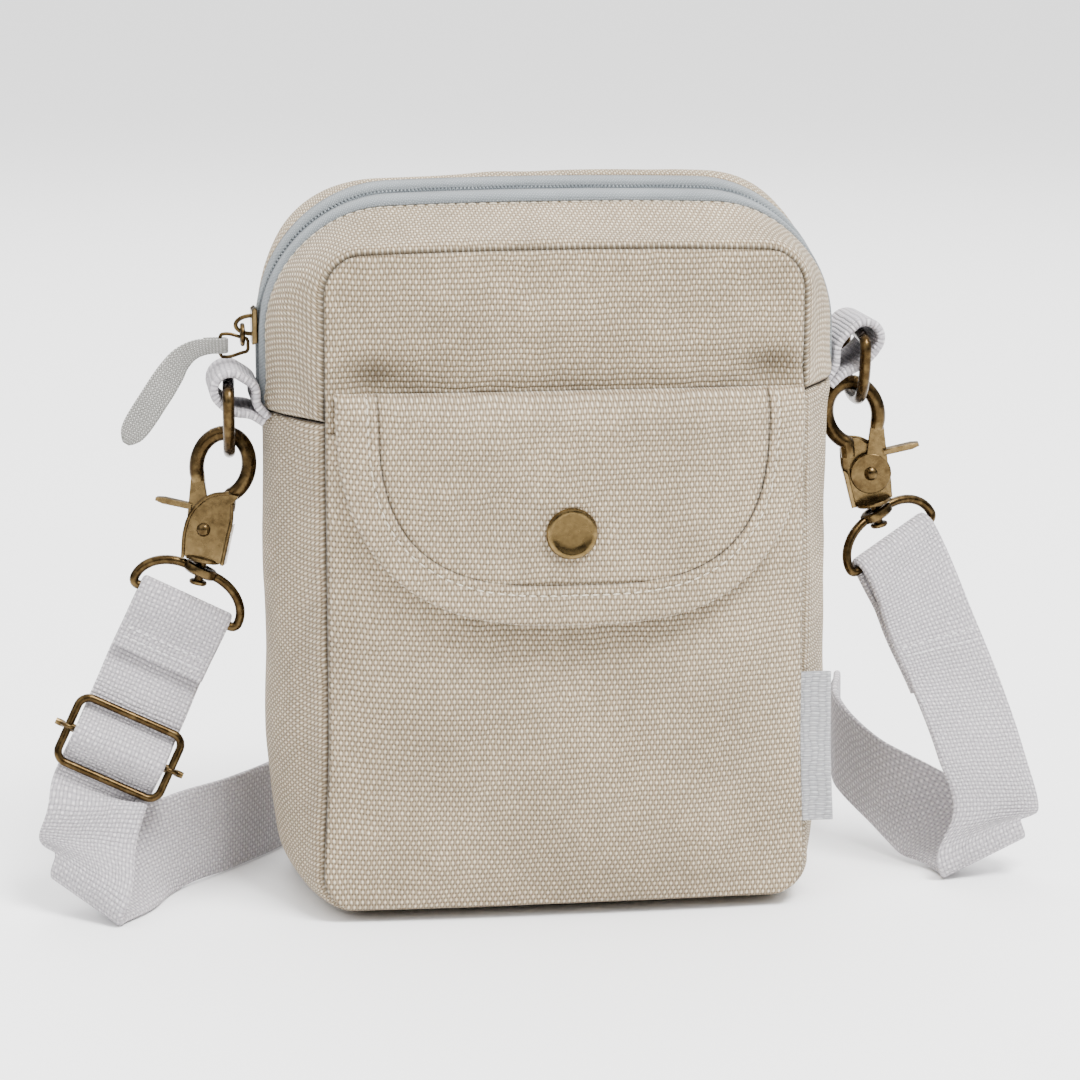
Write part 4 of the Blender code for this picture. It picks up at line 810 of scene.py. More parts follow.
def coil_relief(along, depth):
    """Ribs |sin| 0.6 mm high that lean out from the middle, cut by the groove, and the shade."""
    ribs = np.abs(np.sin(np.pi * (along + np.abs(depth) * 0.3) / COIL_PITCH)) ** 1.2
    groove = np.exp(-((depth - COIL_GROOVE) / (0.5 * MM)) ** 2)
    edge = np.exp(-((np.abs(depth) - CHAIN_WIDTH / 2) / (0.6 * MM)) ** 2)
    height = 0.6 * MM * ribs * (1 - edge) - 0.6 * MM * groove - 0.5 * MM * edge
    inner = smoothstep((2.3 * MM - np.abs(depth)) / (0.6 * MM))
    # painted shade between the ribs and in the groove, then dotted lines of painted shade beside the
    # stitching
    painted_shade = 0.7 * (1 - ribs) * inner + 0.75 * groove
    for line, shade, dots in COIL_LINES:
        stroke = np.exp(-((depth - line) / (0.36 * MM)) ** 2)
        painted_shade = painted_shade + shade * stroke * (1 - dots * ribs)
    return height, np.clip(painted_shade, 0, 0.95)


TAPE_WALL = 0.7 * MM
TAPE_SINK = 0.6 * MM
TAPE_HIDDEN = 0.8 * MM
for name, start, end in (("front", -STRIP_EDGE - TAPE_HIDDEN, -TAPE_EDGE + GAP),
                         ("back", TAPE_EDGE - GAP, STRIP_EDGE + TAPE_HIDDEN)):
    band(name + "_tape_cloth", start, end, False, ["zip_tape_" + name], 0.7 * MM, ZIP_CLOTH,
         TAPE_WALL, sink=TAPE_SINK, waves=0.0, seams=False)


def coil_band():
    """The coil needs a fine grid along the chain, so the outline is read again closely."""
    rows = 17
    y = np.linspace(-CHAIN_WIDTH / 2, CHAIN_WIDTH / 2, rows)
    x, z = band_outline(y / HALF_DEPTH, False, 0.15 * MM, 240, 440)
    grid = np.stack([x, np.broadcast_to(y[:, None], x.shape), z], axis=-1)
    outward = grid - CENTRE
    outward[..., 1] = 0
    normal = grid_normals(grid, outward)
    middle = grid_distances(grid)
    height, painted_shade = coil_relief(middle, grid[..., 1])
    cloth_map = np.stack([middle, grid[..., 1]], axis=-1)
    grid = grid + normal * (height + 0.35 * MM)[..., None]
    piece("zip_coil", [sheet_part(grid, cloth_map, normal, painted_shade)], COIL, ["zip_chain"],
          wall=1.2 * MM)


coil_band()

# %% [markdown]
# ## Front, back, pocket and flap
# The two panels and the pocket are sheets over (x, z).  The cloth stands out most in the middle
# and is held at its seams.  The pocket stands further out than the panel behind it, and the flap
# follows the pocket and rolls back to the panel at its top.

# %% Panels
FRONT_BULGE = 3.5 * MM
BACK_BULGE = 5.0 * MM
POCKET_TOP = 0.1255
POCKET_BULGE = 9.0 * MM
FRONT = section([-1.0])
FRONT_LEFT = float(FRONT["left"][0, 0])


def cushion(x, z, width_power, height_power):
    """(1 - |x|^p) * (1 - |z|^q), 1 in the middle and 0 on the seams."""
    middle = (float(FRONT["top"][0, 0]) + CROWN) / 2
    across = 1 - np.minimum(np.abs(x) / FRONT_LEFT, 1.0) ** width_power
    return across * (1 - np.minimum(np.abs(z - middle) / middle, 1.0) ** height_power)


def front_height(x, z):
    """How far the front panel's cloth stands before the plane of its seam."""
    return FRONT_BULGE * cushion(x, z, 3.0, 3.5)


def pocket_height(x, z):
    """The panel's height plus the pocket's own, which grows from the base seam."""
    rise = np.clip(z / (0.55 * POCKET_TOP), 0, 1)
    across = 1 - np.minimum(np.abs(x) / FRONT_LEFT, 1.0) ** 3.0
    return (CANVAS_WALL + GAP + front_height(x, z)
            + POCKET_BULGE * across * (1 - (1 - rise) ** 2.4))


def panel_grid(measures, top, rows=120):
    """(x, z) over an outline up to a height, and the distance to its nearest seam."""
    base, foot = float(measures["base"][0, 0]), float(measures["foot"][0, 0])
    crest, shoulder = float(measures["top"][0, 0]), float(measures["shoulder"][0, 0])
    angle = np.linspace(0, math.pi / 2, 14)
    heights = np.concatenate([base + foot - foot * np.sin(angle[::-1]),
                              np.linspace(base + foot, crest - shoulder, rows)[1:-1],
                              crest - shoulder + shoulder * np.sin(angle)])
    heights = np.append(heights[heights < min(top, crest) - GAP], min(top, crest))
    width = {side: side_x(measures, side, heights[None, :])[0] for side in ("left", "right")}
    share = spaced(2 * FRONT_LEFT, 1.2 * MM)[None, :]
    x = -width["left"][:, None] + (width["left"] + width["right"])[:, None] * share
    z = np.repeat(heights[:, None], share.size, axis=1)
    side_gap = (width["left"] + width["right"])[:, None] * np.minimum(share, 1 - share)
    seam = np.minimum(side_gap, z - base)
    if top > crest:
        seam = np.minimum(seam, crest - z)
    middle = crest / 2
    return (x * (1 - SEAM_INSET / FRONT_LEFT),
            middle + (crown(x, z) - middle) * (1 - SEAM_INSET / middle), seam)


def cloth_waves(x, z, seam, seed, amount=1.0):
    """Slow and quick noise, fading towards the seams."""
    quiet = smoothstep(seam / (9 * MM))
    return amount * quiet * (0.45 * MM * noise(x, z, 31 * MM, seed)
                             + 0.18 * MM * noise(x, z, 11 * MM, seed + 1))


def panel(name, x, z, height, nodes, painted_shade, front=True, wall=CANVAS_WALL):
    """A panel that stands before (or behind) the plane of its seam by the height given."""
    sign = -1 if front else 1
    grid = np.stack([x, sign * (HALF_DEPTH + height), z], axis=-1)
    outward = np.broadcast_to(np.array([0.0, sign, 0.0]), grid.shape)
    part = sheet_part(grid, np.stack([x, z], axis=-1), outward, painted_shade)
    piece(name, [part], CANVAS, nodes, wall=wall)


FLAP_TOP = 0.1355
DENTS = ((-0.0490, 0.1385, 3.0), (0.0510, 0.1395, 3.2), (-0.031, 0.1405, 0.7), (0.034, 0.1415, 0.8))
x, z, seam = panel_grid(FRONT, 1.0)
height = front_height(x, z) + cloth_waves(x, z, seam, 21) + seam_relief(seam, 0.4 * MM)
meeting = np.exp(-((z - FLAP_TOP) / (6.5 * MM)) ** 2) * (1 - smoothstep((np.abs(x) - 26 * MM)
                                                                         / (16 * MM)))
height = height + 1.3 * MM * meeting
shoulder = smoothstep((np.abs(x) - 48 * MM) / (8 * MM)) * np.exp(-((z - 0.127) / (9 * MM)) ** 2)
height = height + 1.6 * MM * shoulder
# painted shade in a soft band just above the flap's top
above = np.exp(-((z - FLAP_TOP - 2 * MM) / (3.5 * MM)) ** 2)
painted_shade = np.maximum(seam_painted_shade(seam), 0.22 * above)
# each dent is pressed into the cloth and darkened with painted shade
for dent_x, dent_z, depth in DENTS:
    dent = np.exp(-((x - dent_x) / (8 * MM)) ** 2 - ((z - dent_z) / (4.5 * MM)) ** 2)
    height = height - depth * MM * dent
    painted_shade = np.maximum(painted_shade, 0.14 * depth * dent)
panel("front_panel_cloth", x, z, height, ["front_panel"], painted_shade)

BACK = section([1.0])
x, z, seam = panel_grid(BACK, 1.0)
height = (BACK_BULGE * cushion(x, z, 3.0, 3.5) + cloth_waves(x, z, seam, 31, 1.3)
          + seam_relief(seam, 0.4 * MM))
panel("back_panel_cloth", x, z, height, ["back_panel"], seam_painted_shade(seam), front=False)

x, z, seam = panel_grid(FRONT, POCKET_TOP)
height = pocket_height(x, z) + cloth_waves(x, z, seam, 41, 1.3) + seam_relief(seam, 0.4 * MM)
panel("pocket_cloth", x, z, height, ["pocket_panel"], seam_painted_shade(seam))

# %% [markdown]
# ## Flap and binding
# The flap is a D: a straight top and a superellipse, |x|^p + |z|^p = 1.  Its field is bound with
# a folded strip.  Field and binding share one height, and each dips where they are sewn.

# %% Flap
FLAP_HEIGHT = 56.5 * MM
FLAP_WIDTH = 117.5 * MM
FLAP_WALL = 2.0 * MM
FLAP_CLEAR = 1.2 * MM
FLAP_ROLL = 8.5 * MM
FLAP_POWER = 2.8
BINDING = 10 * MM
BINDING_RISE = 0.6 * MM


def flap_height(x, z):
    """Over the pocket, and a quarter round back to the panel at the top."""
    full = pocket_height(x, np.minimum(z, POCKET_TOP)) + FLAP_CLEAR + FLAP_WALL
    root = front_height(x, z) + 2 * GAP + FLAP_WALL
    into = np.clip((FLAP_TOP - z) / FLAP_ROLL, 0, 1)
    return root + (full - root) * np.sqrt(1 - (1 - into) ** 2)


def flap_lift(z):
    """The free lower edge stands off the pocket by up to 1.6 mm."""
    return 1.6 * MM * smoothstep((0.0965 - z) / (18 * MM))


def flap_outline(shrink, power, count=90):
    """Half of the D from its top corner to the middle of its foot, rolled top first."""
    drop = FLAP_HEIGHT - shrink
    roll = np.arcsin((np.linspace(0, 1, 16) ** 1.6 * FLAP_ROLL / drop) ** (power / 2))
    angle = np.concatenate([roll, np.linspace(roll[-1], math.pi / 2, count)[1:]])
    width = (FLAP_WIDTH / 2 - shrink) * np.maximum(np.cos(angle), 0) ** (2 / power)
    return width, FLAP_TOP - drop * np.sin(angle) ** (2 / power)


FIELD_POWER = FLAP_POWER + 0.4
width, drop = flap_outline(BINDING - 0.2 * MM, FIELD_POWER)
share = np.linspace(-1, 1, 110)[None, :]
x = width[:, None] * share
z = np.repeat(drop[:, None], 110, axis=1)
seam = np.minimum(width[:, None] * (1 - np.abs(share)), z - drop[-1])
height = flap_height(x, z) + cloth_waves(x, z, seam, 51, 1.2) - 0.6 * MM * np.exp(-(seam / MM) ** 2)
height = height + flap_lift(z)
panel("flap_cloth", x, z, height, ["flap"], seam_painted_shade(seam, 0.5, 0.8 * MM), wall=FLAP_WALL * 0.8)

inner, outer = flap_outline(BINDING, FIELD_POWER), flap_outline(0.0, FLAP_POWER)
share = np.linspace(0, 1, 26)[:, None]
x = inner[0] + (outer[0] - inner[0]) * share
z = inner[1] + (outer[1] - inner[1]) * share
x = np.concatenate([x, -x[:, -2::-1]], axis=1)
z = np.concatenate([z, z[:, -2::-1]], axis=1)
across = BINDING * share
rounded = 1.5 * MM * (1 - np.sqrt(np.clip(1 - ((across - BINDING + 1.8 * MM) / (1.8 * MM)).clip(0, 1)
                                          ** 2, 0, 1)))
groove = np.exp(-((across - STITCH_LINE) / STITCH_GROOVE) ** 2)
height = (flap_height(x, z) + BINDING_RISE - rounded - 0.8 * MM * np.exp(-(across / (0.35 * MM)) ** 2)
          - 0.3 * MM * groove + 0.15 * MM * noise(x, z, 8 * MM, 61) + flap_lift(z))
# painted shade in the stitched groove and along the binding's inner edge
painted_shade = np.broadcast_to(0.28 * groove + seam_painted_shade(across, 0.3, 0.3 * MM), x.shape)
binding_grid = np.stack([x, -HALF_DEPTH - height, z], axis=-1)
binding_out = np.broadcast_to(np.array([0.0, -1.0, 0.0]), binding_grid.shape)
binding_map = np.stack([x, z], axis=-1)
binding_normal = grid_normals(binding_grid, binding_out)
piece("binding_cloth", [sheet_part(binding_grid, binding_map, binding_out, painted_shade)], CANVAS,
      ["flap_binding"], wall=2.0 * MM)
row = 6
piece("binding_stitches", [stitch_part(binding_grid[row], binding_normal[row], STITCH_PITCH)],
      THREAD, [])

# %% [markdown]
# ## Snap
# The cap is a turned disc with a raised rim and a slightly hollow face.  It is bare, and its
# post stays hidden between the layers.

# %% Snap
SNAP = (-2.0 * MM, 0.1020)
here = float(flap_height(np.array(SNAP[0]), np.array(SNAP[1])))
above, below = (float(flap_height(np.array(SNAP[0]), np.array(SNAP[1] + step)))
                for step in (2 * MM, -2 * MM))
snap_normal = unit(np.array([0.0, -1.0, -(above - below) / (4 * MM)]))
snap_seat = np.array([SNAP[0], -HALF_DEPTH - here, SNAP[1]])
cap_profile = np.array([(0.0, -0.3), (5.6, -0.3), (6.3, 0.2), (6.4, 0.8), (6.1, 1.35), (5.5, 1.6),
                        (4.9, 1.5), (4.5, 1.25), (3.0, 1.18), (1.2, 1.15), (0.0, 1.15)]) * MM
piece("snap_cap_metal", [turned_part(cap_profile, snap_seat, snap_normal, 64)], CAP_BRASS,
      ["snap_cap"])
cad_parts["snap_post"].material_slots[0].material = BRASS

# %% [markdown]
# ## Side label
# A folded ribbon stands out of the right front seam.  Ribs run along it, so the sheet has a fine
# ripple in height.

# %% Side label
LABEL_BOTTOM = 22 * MM
LABEL_HEIGHT = 39 * MM
LABEL_REACH = 8 * MM
LABEL_RIB = 1.3 * MM
heights = np.linspace(LABEL_BOTTOM, LABEL_BOTTOM + LABEL_HEIGHT, 150)[:, None]
reach = np.linspace(-0.12, 1, 24)[None, :]
edge = side_x(FRONT, "right", heights.T).T
fold = 0.9 * MM * np.sqrt(np.clip(1 - ((reach - 0.9) / 0.1).clip(0, 1) ** 2, 0, 1))
ribs = 0.12 * MM * np.sin(2 * math.pi * heights / LABEL_RIB) * np.clip((0.98 - reach) * 12, 0, 1)
label_parts = []
for sign in (-1, 1):
    y = -HALF_DEPTH + 0.0004 * np.sin(np.clip(reach, 0, 1) * math.pi) + sign * (fold / 1.6 + ribs)
    grid = np.stack(np.broadcast_arrays(edge + LABEL_REACH * reach, y, heights), axis=-1)
    label_parts.append(sheet_part(grid, grid[..., [0, 2]],
                                  np.broadcast_to(np.array([0.0, sign, 0.0]), grid.shape)))
piece("side_label_ribbon", label_parts, RIBBON, ["side_label"], wall=0.35 * MM)

# %% [markdown]
# ## Webbing and its route
# The strap is one length of 25 mm webbing: a flat profile with rounded edges carried along a
# route.  The route's rows come from the metal that holds it: round the left ring, through the
# adjuster, over two folds on the floor and up to the right ring.

# %% Places of the metal
WEB = 25 * MM
WEB_WALL = 2.0 * MM
TAB_WALL = 2.2 * MM
D_WIRE = 3.0 * MM
D_HEIGHT = 17 * MM
HOLE_WIDTH = 9.6 * MM
HOLE_HEIGHT = 12.8 * MM
HOOK_WIRE = 3.8 * MM
HOOK_RING = 27.8 * MM
RING_WIRE = 2.4 * MM
RING_DROP = 10.1 * MM


def turned(matrix, degrees, axis):
    """A 4x4 matrix followed by a turn about its own Y or Z axis."""
    c, s = math.cos(math.radians(degrees)), math.sin(math.radians(degrees))
    turn = np.eye(4)
    if axis == "Y":
        turn[0, 0], turn[0, 2], turn[2, 0], turn[2, 2] = c, s, -s, c
    else:
        turn[0, 0], turn[0, 1], turn[1, 0], turn[1, 1] = c, -s, s, c
    return matrix @ turn


def at_place(point):
    """A 4x4 matrix that only moves to the point."""
    matrix = np.eye(4)
    matrix[:3, 3] = point
    return matrix


def side_metal(name, sign, tab_out, tab_up, tab_depth, d_turn, wire, lean, turn, tilt, ring_turn):
    """World places of one side's fittings, worked down from the tab to the strap ring."""
    seam = SEAM_LEFT if sign < 0 else SEAM_RIGHT
    depth = tab_depth * WEB
    skin = float(side_x(section([depth / HALF_DEPTH]), name, np.array([[seam]]))[0, 0])
    bar = np.array([sign * (skin + tab_out * WEB), depth, seam + tab_up * WEB])
    hang = turned(turned(np.eye(4), lean, "Y"), turn, "Z")
    across = wire * HOLE_WIDTH
    top = HOLE_HEIGHT / 2 * math.sqrt(1 - (2 * across / HOLE_WIDTH) ** 2)
    rest = HOOK_RING + top - D_WIRE / 2 - 2 * GAP
    eye = bar - np.array([0, 0, D_HEIGHT]) - hang[:3, :3] @ np.array([across, 0, rest])
    ring = turned(turned(at_place(eye), tilt, "Y"), ring_turn, "Z")
    return {"name": name, "sign": sign, "seam": seam, "skin": skin, "bar": bar, "depth": depth,
            "d_turn": d_turn, "hook": at_place(eye) @ hang, "ring": ring,
            "aim": math.atan2(tab_up, tab_out)}


LEFT = side_metal("left", -1, 0.34, 0.22, 0.00, 3.0, 0.09, 12.8, -14.0, 26.0, -4.0)
RIGHT = side_metal("right", 1, 0.39, 0.35, 0.24, 2.4, -0.16, -14.5, 172.0, -28.0, 20.0)
print("left eye", LEFT["hook"][:3, 3].round(4), "right eye", RIGHT["hook"][:3, 3].round(4))

# %% [markdown]
# ## The strap's route
# The route is a list of places with the direction of the webbing's edge at each.  A spline fills
# it in, and the webbing's faces are square to both the route and its edge.

# %% Strap route
# x, y and z as shares of the body's half width, half depth and height, then the edge's direction
STRAP_LEFT = ((-1.585, -0.29, 0.154, -0.98, 0.06, 0.17), (-1.630, -0.43, 0.096, -0.97, 0.20, 0.12))
STRAP_BACK = (
    (-1.330, 0.10, 0.000, -0.10, 0.05, 1.00), (-1.130, 0.62, 0.000, 0.00, 0.02, 1.00),
    (-0.930, 1.25, 0.000, 0.00, 0.00, 1.00), (-0.640, 2.80, 0.000, 0.00, 0.00, 1.00),
    (-0.120, 4.45, 0.000, 0.00, 0.00, 1.00), (0.560, 4.90, 0.000, 0.00, 0.00, 1.00),
    (1.100, 4.10, 0.010, 0.00, 0.00, 1.00), (1.260, 2.80, 0.090, 0.00, 0.05, 1.00),
    (1.190, 1.70, 0.150, 0.02, 0.15, 0.98), (1.140, 1.20, 0.138, 0.04, 0.25, 0.97),
    (1.230, 0.55, 0.098, 0.06, 0.30, 0.95),
)
STRAP_RIGHT = (
    (1.560, -0.45, 0.085, 0.98, 0.18, 0.02), (1.518, -0.32, 0.176, 0.98, 0.18, -0.02),
    (1.448, -0.19, 0.262, 0.98, 0.15, 0.03), (1.350, -0.06, 0.360, 0.94, 0.24, 0.23),
)
FOLDS = {"left": ((-1.520, -0.915, 0.006), (-1.757, -0.406, 0.056)),
         "right": ((1.362, -0.515, 0.006), (1.665, -0.500, 0.062))}
FOLD_RADIUS = 4.8 * MM
LEFT_END = 16 * MM
RIGHT_END = 42 * MM
ADJUSTER_LENGTH = 28.3 * MM
ADJUSTER_WIDTH = 17.7 * MM
ADJUSTER_WIRE = 2.1 * MM
ADJUSTER_DROP = 40 * MM
SCALE = np.array([HALF_WIDTH, HALF_DEPTH, BODY_HEIGHT])


def ring_frame(side):
    """Middle of the strap ring's bar, and the directions along it, down and forward."""
    matrix = side["ring"]
    bar = matrix[:3, 3] - matrix[:3, 2] * RING_DROP
    return bar, matrix[:3, 0], -matrix[:3, 2], -matrix[:3, 1]


def table_rows(table):
    """Places in metres, no lower than the webbing can stand, and unit edge directions."""
    table = np.array(table)
    edges = unit(table[:, 3:])
    places = table[:, :3] * SCALE
    places[:, 2] = np.maximum(places[:, 2], WEB / 2 * np.abs(edges[:, 2]) + GAP)
    return list(zip(places, edges))


def fold_rows(name, arriving, leaving):
    """Rows round a floor fold, about the line from its tip to its outer corner."""
    tip, corner = (np.array(point) * SCALE for point in FOLDS[name])
    edge = unit(corner - tip)
    middle = tip + edge * WEB / 2
    start = unit(arriving - edge * np.dot(arriving, edge))
    end = unit(leaving - edge * np.dot(leaving, edge))
    turn = math.acos(np.clip(np.dot(start, end), -1, 1))
    outward = -unit(end - start * np.dot(end, start))
    centre = middle - FOLD_RADIUS * (outward * math.cos(turn / 2) + start * math.sin(turn / 2))
    return [(centre + FOLD_RADIUS * (outward * math.cos(a) + start * math.sin(a)), edge)
            for a in np.linspace(0, turn, 6)]


def adjuster_axes():
    """Centre and axes of the adjuster, which rides on the webbing below the left ring."""
    bar, along, down, forward = ring_frame(LEFT)
    slope = unit(np.array(STRAP_LEFT[0][:3]) * SCALE - bar)
    across = unit(along - slope * np.dot(along, slope) * 0.5)
    slope = unit(slope - across * np.dot(slope, across))
    front = unit(np.cross(across, slope))
    front = front if np.dot(front, forward) > 0 else -front
    return bar + slope * ADJUSTER_DROP, across, slope, front


def strap_rows():
    """Every place and edge direction of the webbing, from its left end to its right end."""
    radius = RING_WIRE / 2 + GAP + WEB_WALL / 2
    layer = WEB_WALL / 2 + GAP
    bar, along, down, forward = ring_frame(LEFT)
    rows = [(bar + down * LEFT_END * share + forward * off, -along)
            for share, off in ((1.0, layer), (0.6, layer), (0.25, radius))]
    rows += [(bar + (forward * math.cos(a) - down * math.sin(a)) * radius, -along)
             for a in np.linspace(0, math.pi, 7)]
    rows += [(bar + down * LEFT_END * share - forward * off, -along)
             for share, off in ((0.25, radius), (0.65, layer), (1.10, layer))]
    middle, across, slope, front = adjuster_axes()
    weave = ADJUSTER_WIRE / 2 + GAP + WEB_WALL / 2 + GAP / 2
    rows += [(middle + slope * ADJUSTER_WIDTH / 2 * share
              + front * weave * math.cos(math.pi * min(abs(share) * 1.12, 1.0)), -across)
             for share in (-1.5, *np.linspace(-1.2, 1.2, 13), 1.5)]
    rows += table_rows(STRAP_LEFT)
    back = table_rows(STRAP_BACK)
    rows += fold_rows("left", unit(rows[-1][0] - rows[-2][0]), unit(back[1][0] - back[0][0]))
    rows += back
    climb = table_rows(STRAP_RIGHT)
    rows += fold_rows("right", unit(back[-1][0] - back[-2][0]), unit(climb[1][0] - climb[0][0]))
    rows += climb
    bar, along, down, forward = ring_frame(RIGHT)
    rows += [(bar + down * radius * 2 + forward * radius, along)]
    rows += [(bar + (forward * math.cos(a) - down * math.sin(a)) * radius, along)
             for a in np.linspace(0, math.pi, 7)]
    return rows


def flat_profile(width, wall, count=15):
    """A closed flat oval: two straight faces joined by half rounds."""
    half = width / 2 - wall / 2
    top = np.linspace(-half, half, count)
    angle = np.linspace(math.pi / 2, -math.pi / 2, 7)[1:-1]
    right = np.stack([half + wall / 2 * np.cos(angle), wall / 2 * np.sin(angle)], axis=1)
    upper = np.stack([top, np.full(count, wall / 2)], axis=1)
    return np.concatenate([upper, right, -upper, -right])


STEP = 0.9 * MM
rows = strap_rows()
places = np.array([place for place, _ in rows])
edges = np.array([edge for _, edge in rows])
keys = travelled(places)
at = np.arange(0, keys[-1], STEP)
strap_places, strap_edges = spline(keys, places, at), unit(spline(keys, edges, at))
strap_normals = unit(np.cross(np.gradient(strap_places, at, axis=0), strap_edges))
print("strap length", round(float(keys[-1]), 3))

# %% [markdown]
# ## Strap
# The webbing passes round the right ring and is sewn back on itself, so the last stretch of the
# route is followed backwards one layer away.  A short moving average takes the kinks out of the
# whole route before the flat profile is carried along it.

# %% Strap
bar, along, down, forward = ring_frame(RIGHT)
radius = RING_WIRE / 2 + GAP + WEB_WALL / 2
from_bar = np.linalg.norm(strap_places - bar, axis=1)
late = np.arange(len(at)) > len(at) / 2
main = np.where(late & (from_bar > 3 * radius) & (from_bar < RIGHT_END))[0][::-1]
behind = np.sign(np.dot(strap_normals[main[0]], forward))
spread = 2 * radius - WEB_WALL - 2 * GAP
gap = WEB_WALL + 0.5 * GAP + spread * np.exp(-(from_bar[main] - 3 * radius) / (6 * MM))
returned = strap_places[main] - strap_normals[main] * behind * gap[:, None]
route = np.concatenate([strap_places, returned])
route_edges = np.concatenate([strap_edges, strap_edges[main]])
route_normals = np.concatenate([strap_normals, strap_normals[main] * -1])
smooth = np.ones(5) / 5
inner = slice(2, -2)
for axis in range(3):
    route[inner, axis] = np.convolve(route[:, axis], smooth, "valid")
    route_edges[inner, axis] = np.convolve(route_edges[:, axis], smooth, "valid")
route_edges = unit(route_edges)
route_normals = unit(np.cross(np.gradient(route, axis=0), route_edges))
lowest = (route[:, 2] - WEB / 2 * np.abs(route_edges[:, 2])
          - WEB_WALL / 2 * np.abs(route_normals[:, 2]))
route[:, 2] += np.maximum(0.1 * MM - lowest, 0)
strap_part = carried_part(route, route_edges, route_normals, flat_profile(WEB, WEB_WALL), False)
piece("strap_webbing", [strap_part], WEBBING, ["strap"])


def cross_stitches(index, side, rows=2):
    """Rows of stitches across the webbing at one place on its route."""
    share = np.linspace(-0.44, 0.44, 24)[:, None]
    parts = []
    for step in range(rows):
        place = route[index + 3 * step] + route_normals[index + 3 * step] * side * WEB_WALL / 2
        line = place + route_edges[index + 3 * step] * WEB * share
        normals = np.broadcast_to(route_normals[index + 3 * step] * side, line.shape)
        parts.append(stitch_part(line, normals, 2.2 * MM))
    return parts


front_side = float(np.sign(route_normals[4] @ ring_frame(LEFT)[3]))
piece("strap_stitches", cross_stitches(3, front_side)
      + cross_stitches(len(at) - int(RIGHT_END / STEP) + 4, float(behind)), GREY_THREAD, [])

# %% [markdown]
# ## Tab loops
# Each D ring hangs in a short fold of the same webbing, sewn into the cross seam.  Its path runs
# out under the ring's bar, round it and back above, and the webbing's profile is carried along it.

# %% Tab loops
def tab_path(side):
    """Out from the seam under the bar, round it, and back above."""
    radius = D_WIRE / 2 + 1.6 * MM + TAB_WALL / 2
    stand = (TAB_WALL + GAP) * math.sin(side["aim"]) + 3 * GAP
    sign, bar = side["sign"], side["bar"]
    root = np.array([sign * (side["skin"] + stand), 0, side["seam"]])
    out = np.array([bar[0], 0, bar[2]]) - root
    length = np.linalg.norm(out)
    out = out / length
    up = np.array([-sign * out[2], 0, sign * out[0]])
    layer = TAB_WALL / 2 + GAP
    centre = root + out * length
    inside = -out * (stand + 1.2 * MM)
    path = [root - up * layer * 0.6 + inside, root - up * layer,
            root + out * length * 0.5 - up * radius * 0.9]
    path += [centre - up * radius * math.cos(a) + out * radius * math.sin(a)
             for a in np.linspace(0, math.pi, 9)]
    path += [root + out * length * 0.5 + up * radius * 1.05, root + up * layer + out * 2 * GAP,
             root + up * layer * 0.6 + inside]
    return resampled(np.array(path) + np.array([0, side["depth"], 0]), 110)


for side in (LEFT, RIGHT):
    path = tab_path(side)
    across = np.broadcast_to(np.array([0.0, 1.0, 0.0]), path.shape)
    normals = unit(np.cross(np.gradient(path, axis=0), across))
    part = carried_part(path, across, normals, flat_profile(WEB - 1.2 * MM, TAB_WALL), False)
    piece("tab_loop_webbing_" + side["name"], [part], WEBBING, ["tab_loop_" + side["name"]])

# %% [markdown]
# ## D rings, strap rings and adjuster
# These are bent wire: a round profile carried along a flat closed path.  The strap ring also has
# a cast eye that the hook's post turns in, which is a rounded profile carried round an oval.

# %% Wire rings
def smooth_loop(points, count):
    """A closed smooth path through points, by a spline over three copies of the loop."""
    points = np.asarray(points, float)
    tripled = np.concatenate([points, points, points, points[:1]])
    keys = travelled(tripled)
    start, end = keys[len(points)], keys[2 * len(points)]
    return spline(keys, tripled, np.linspace(start, end, count, endpoint=False))


def d_ring(side):
    """A straight bar with rounded corners and a bow (cos^0.7, sin) that hangs from it."""
    turn = math.radians(side["d_turn"])
    along = np.array([math.sin(turn), math.cos(turn), 0])
    corner, half = D_WIRE * 0.9, 28.5 * MM / 2
    a = np.linspace(0, math.pi / 2, 8)
    flat = np.stack([half - corner + corner * np.sin(a), -corner + corner * np.cos(a)], axis=1)
    a = np.linspace(0, math.pi / 2, 26)[1:]
    bow = np.stack([half * np.maximum(np.cos(a), 0) ** 0.7,
                    -corner - (D_HEIGHT - corner) * np.sin(a)], axis=1)
    right = np.concatenate([flat, bow])
    outline = np.concatenate([right, (right * [-1, 1])[::-1][1:]])
    points = side["bar"] + outline[:, :1] * along + outline[:, 1:] * np.array([0, 0, 1.0])
    normal = np.cross(along, [0, 0, 1.0])
    return [tube_part(smooth_loop(points, 150), normal, D_WIRE / 2, sides=20)]


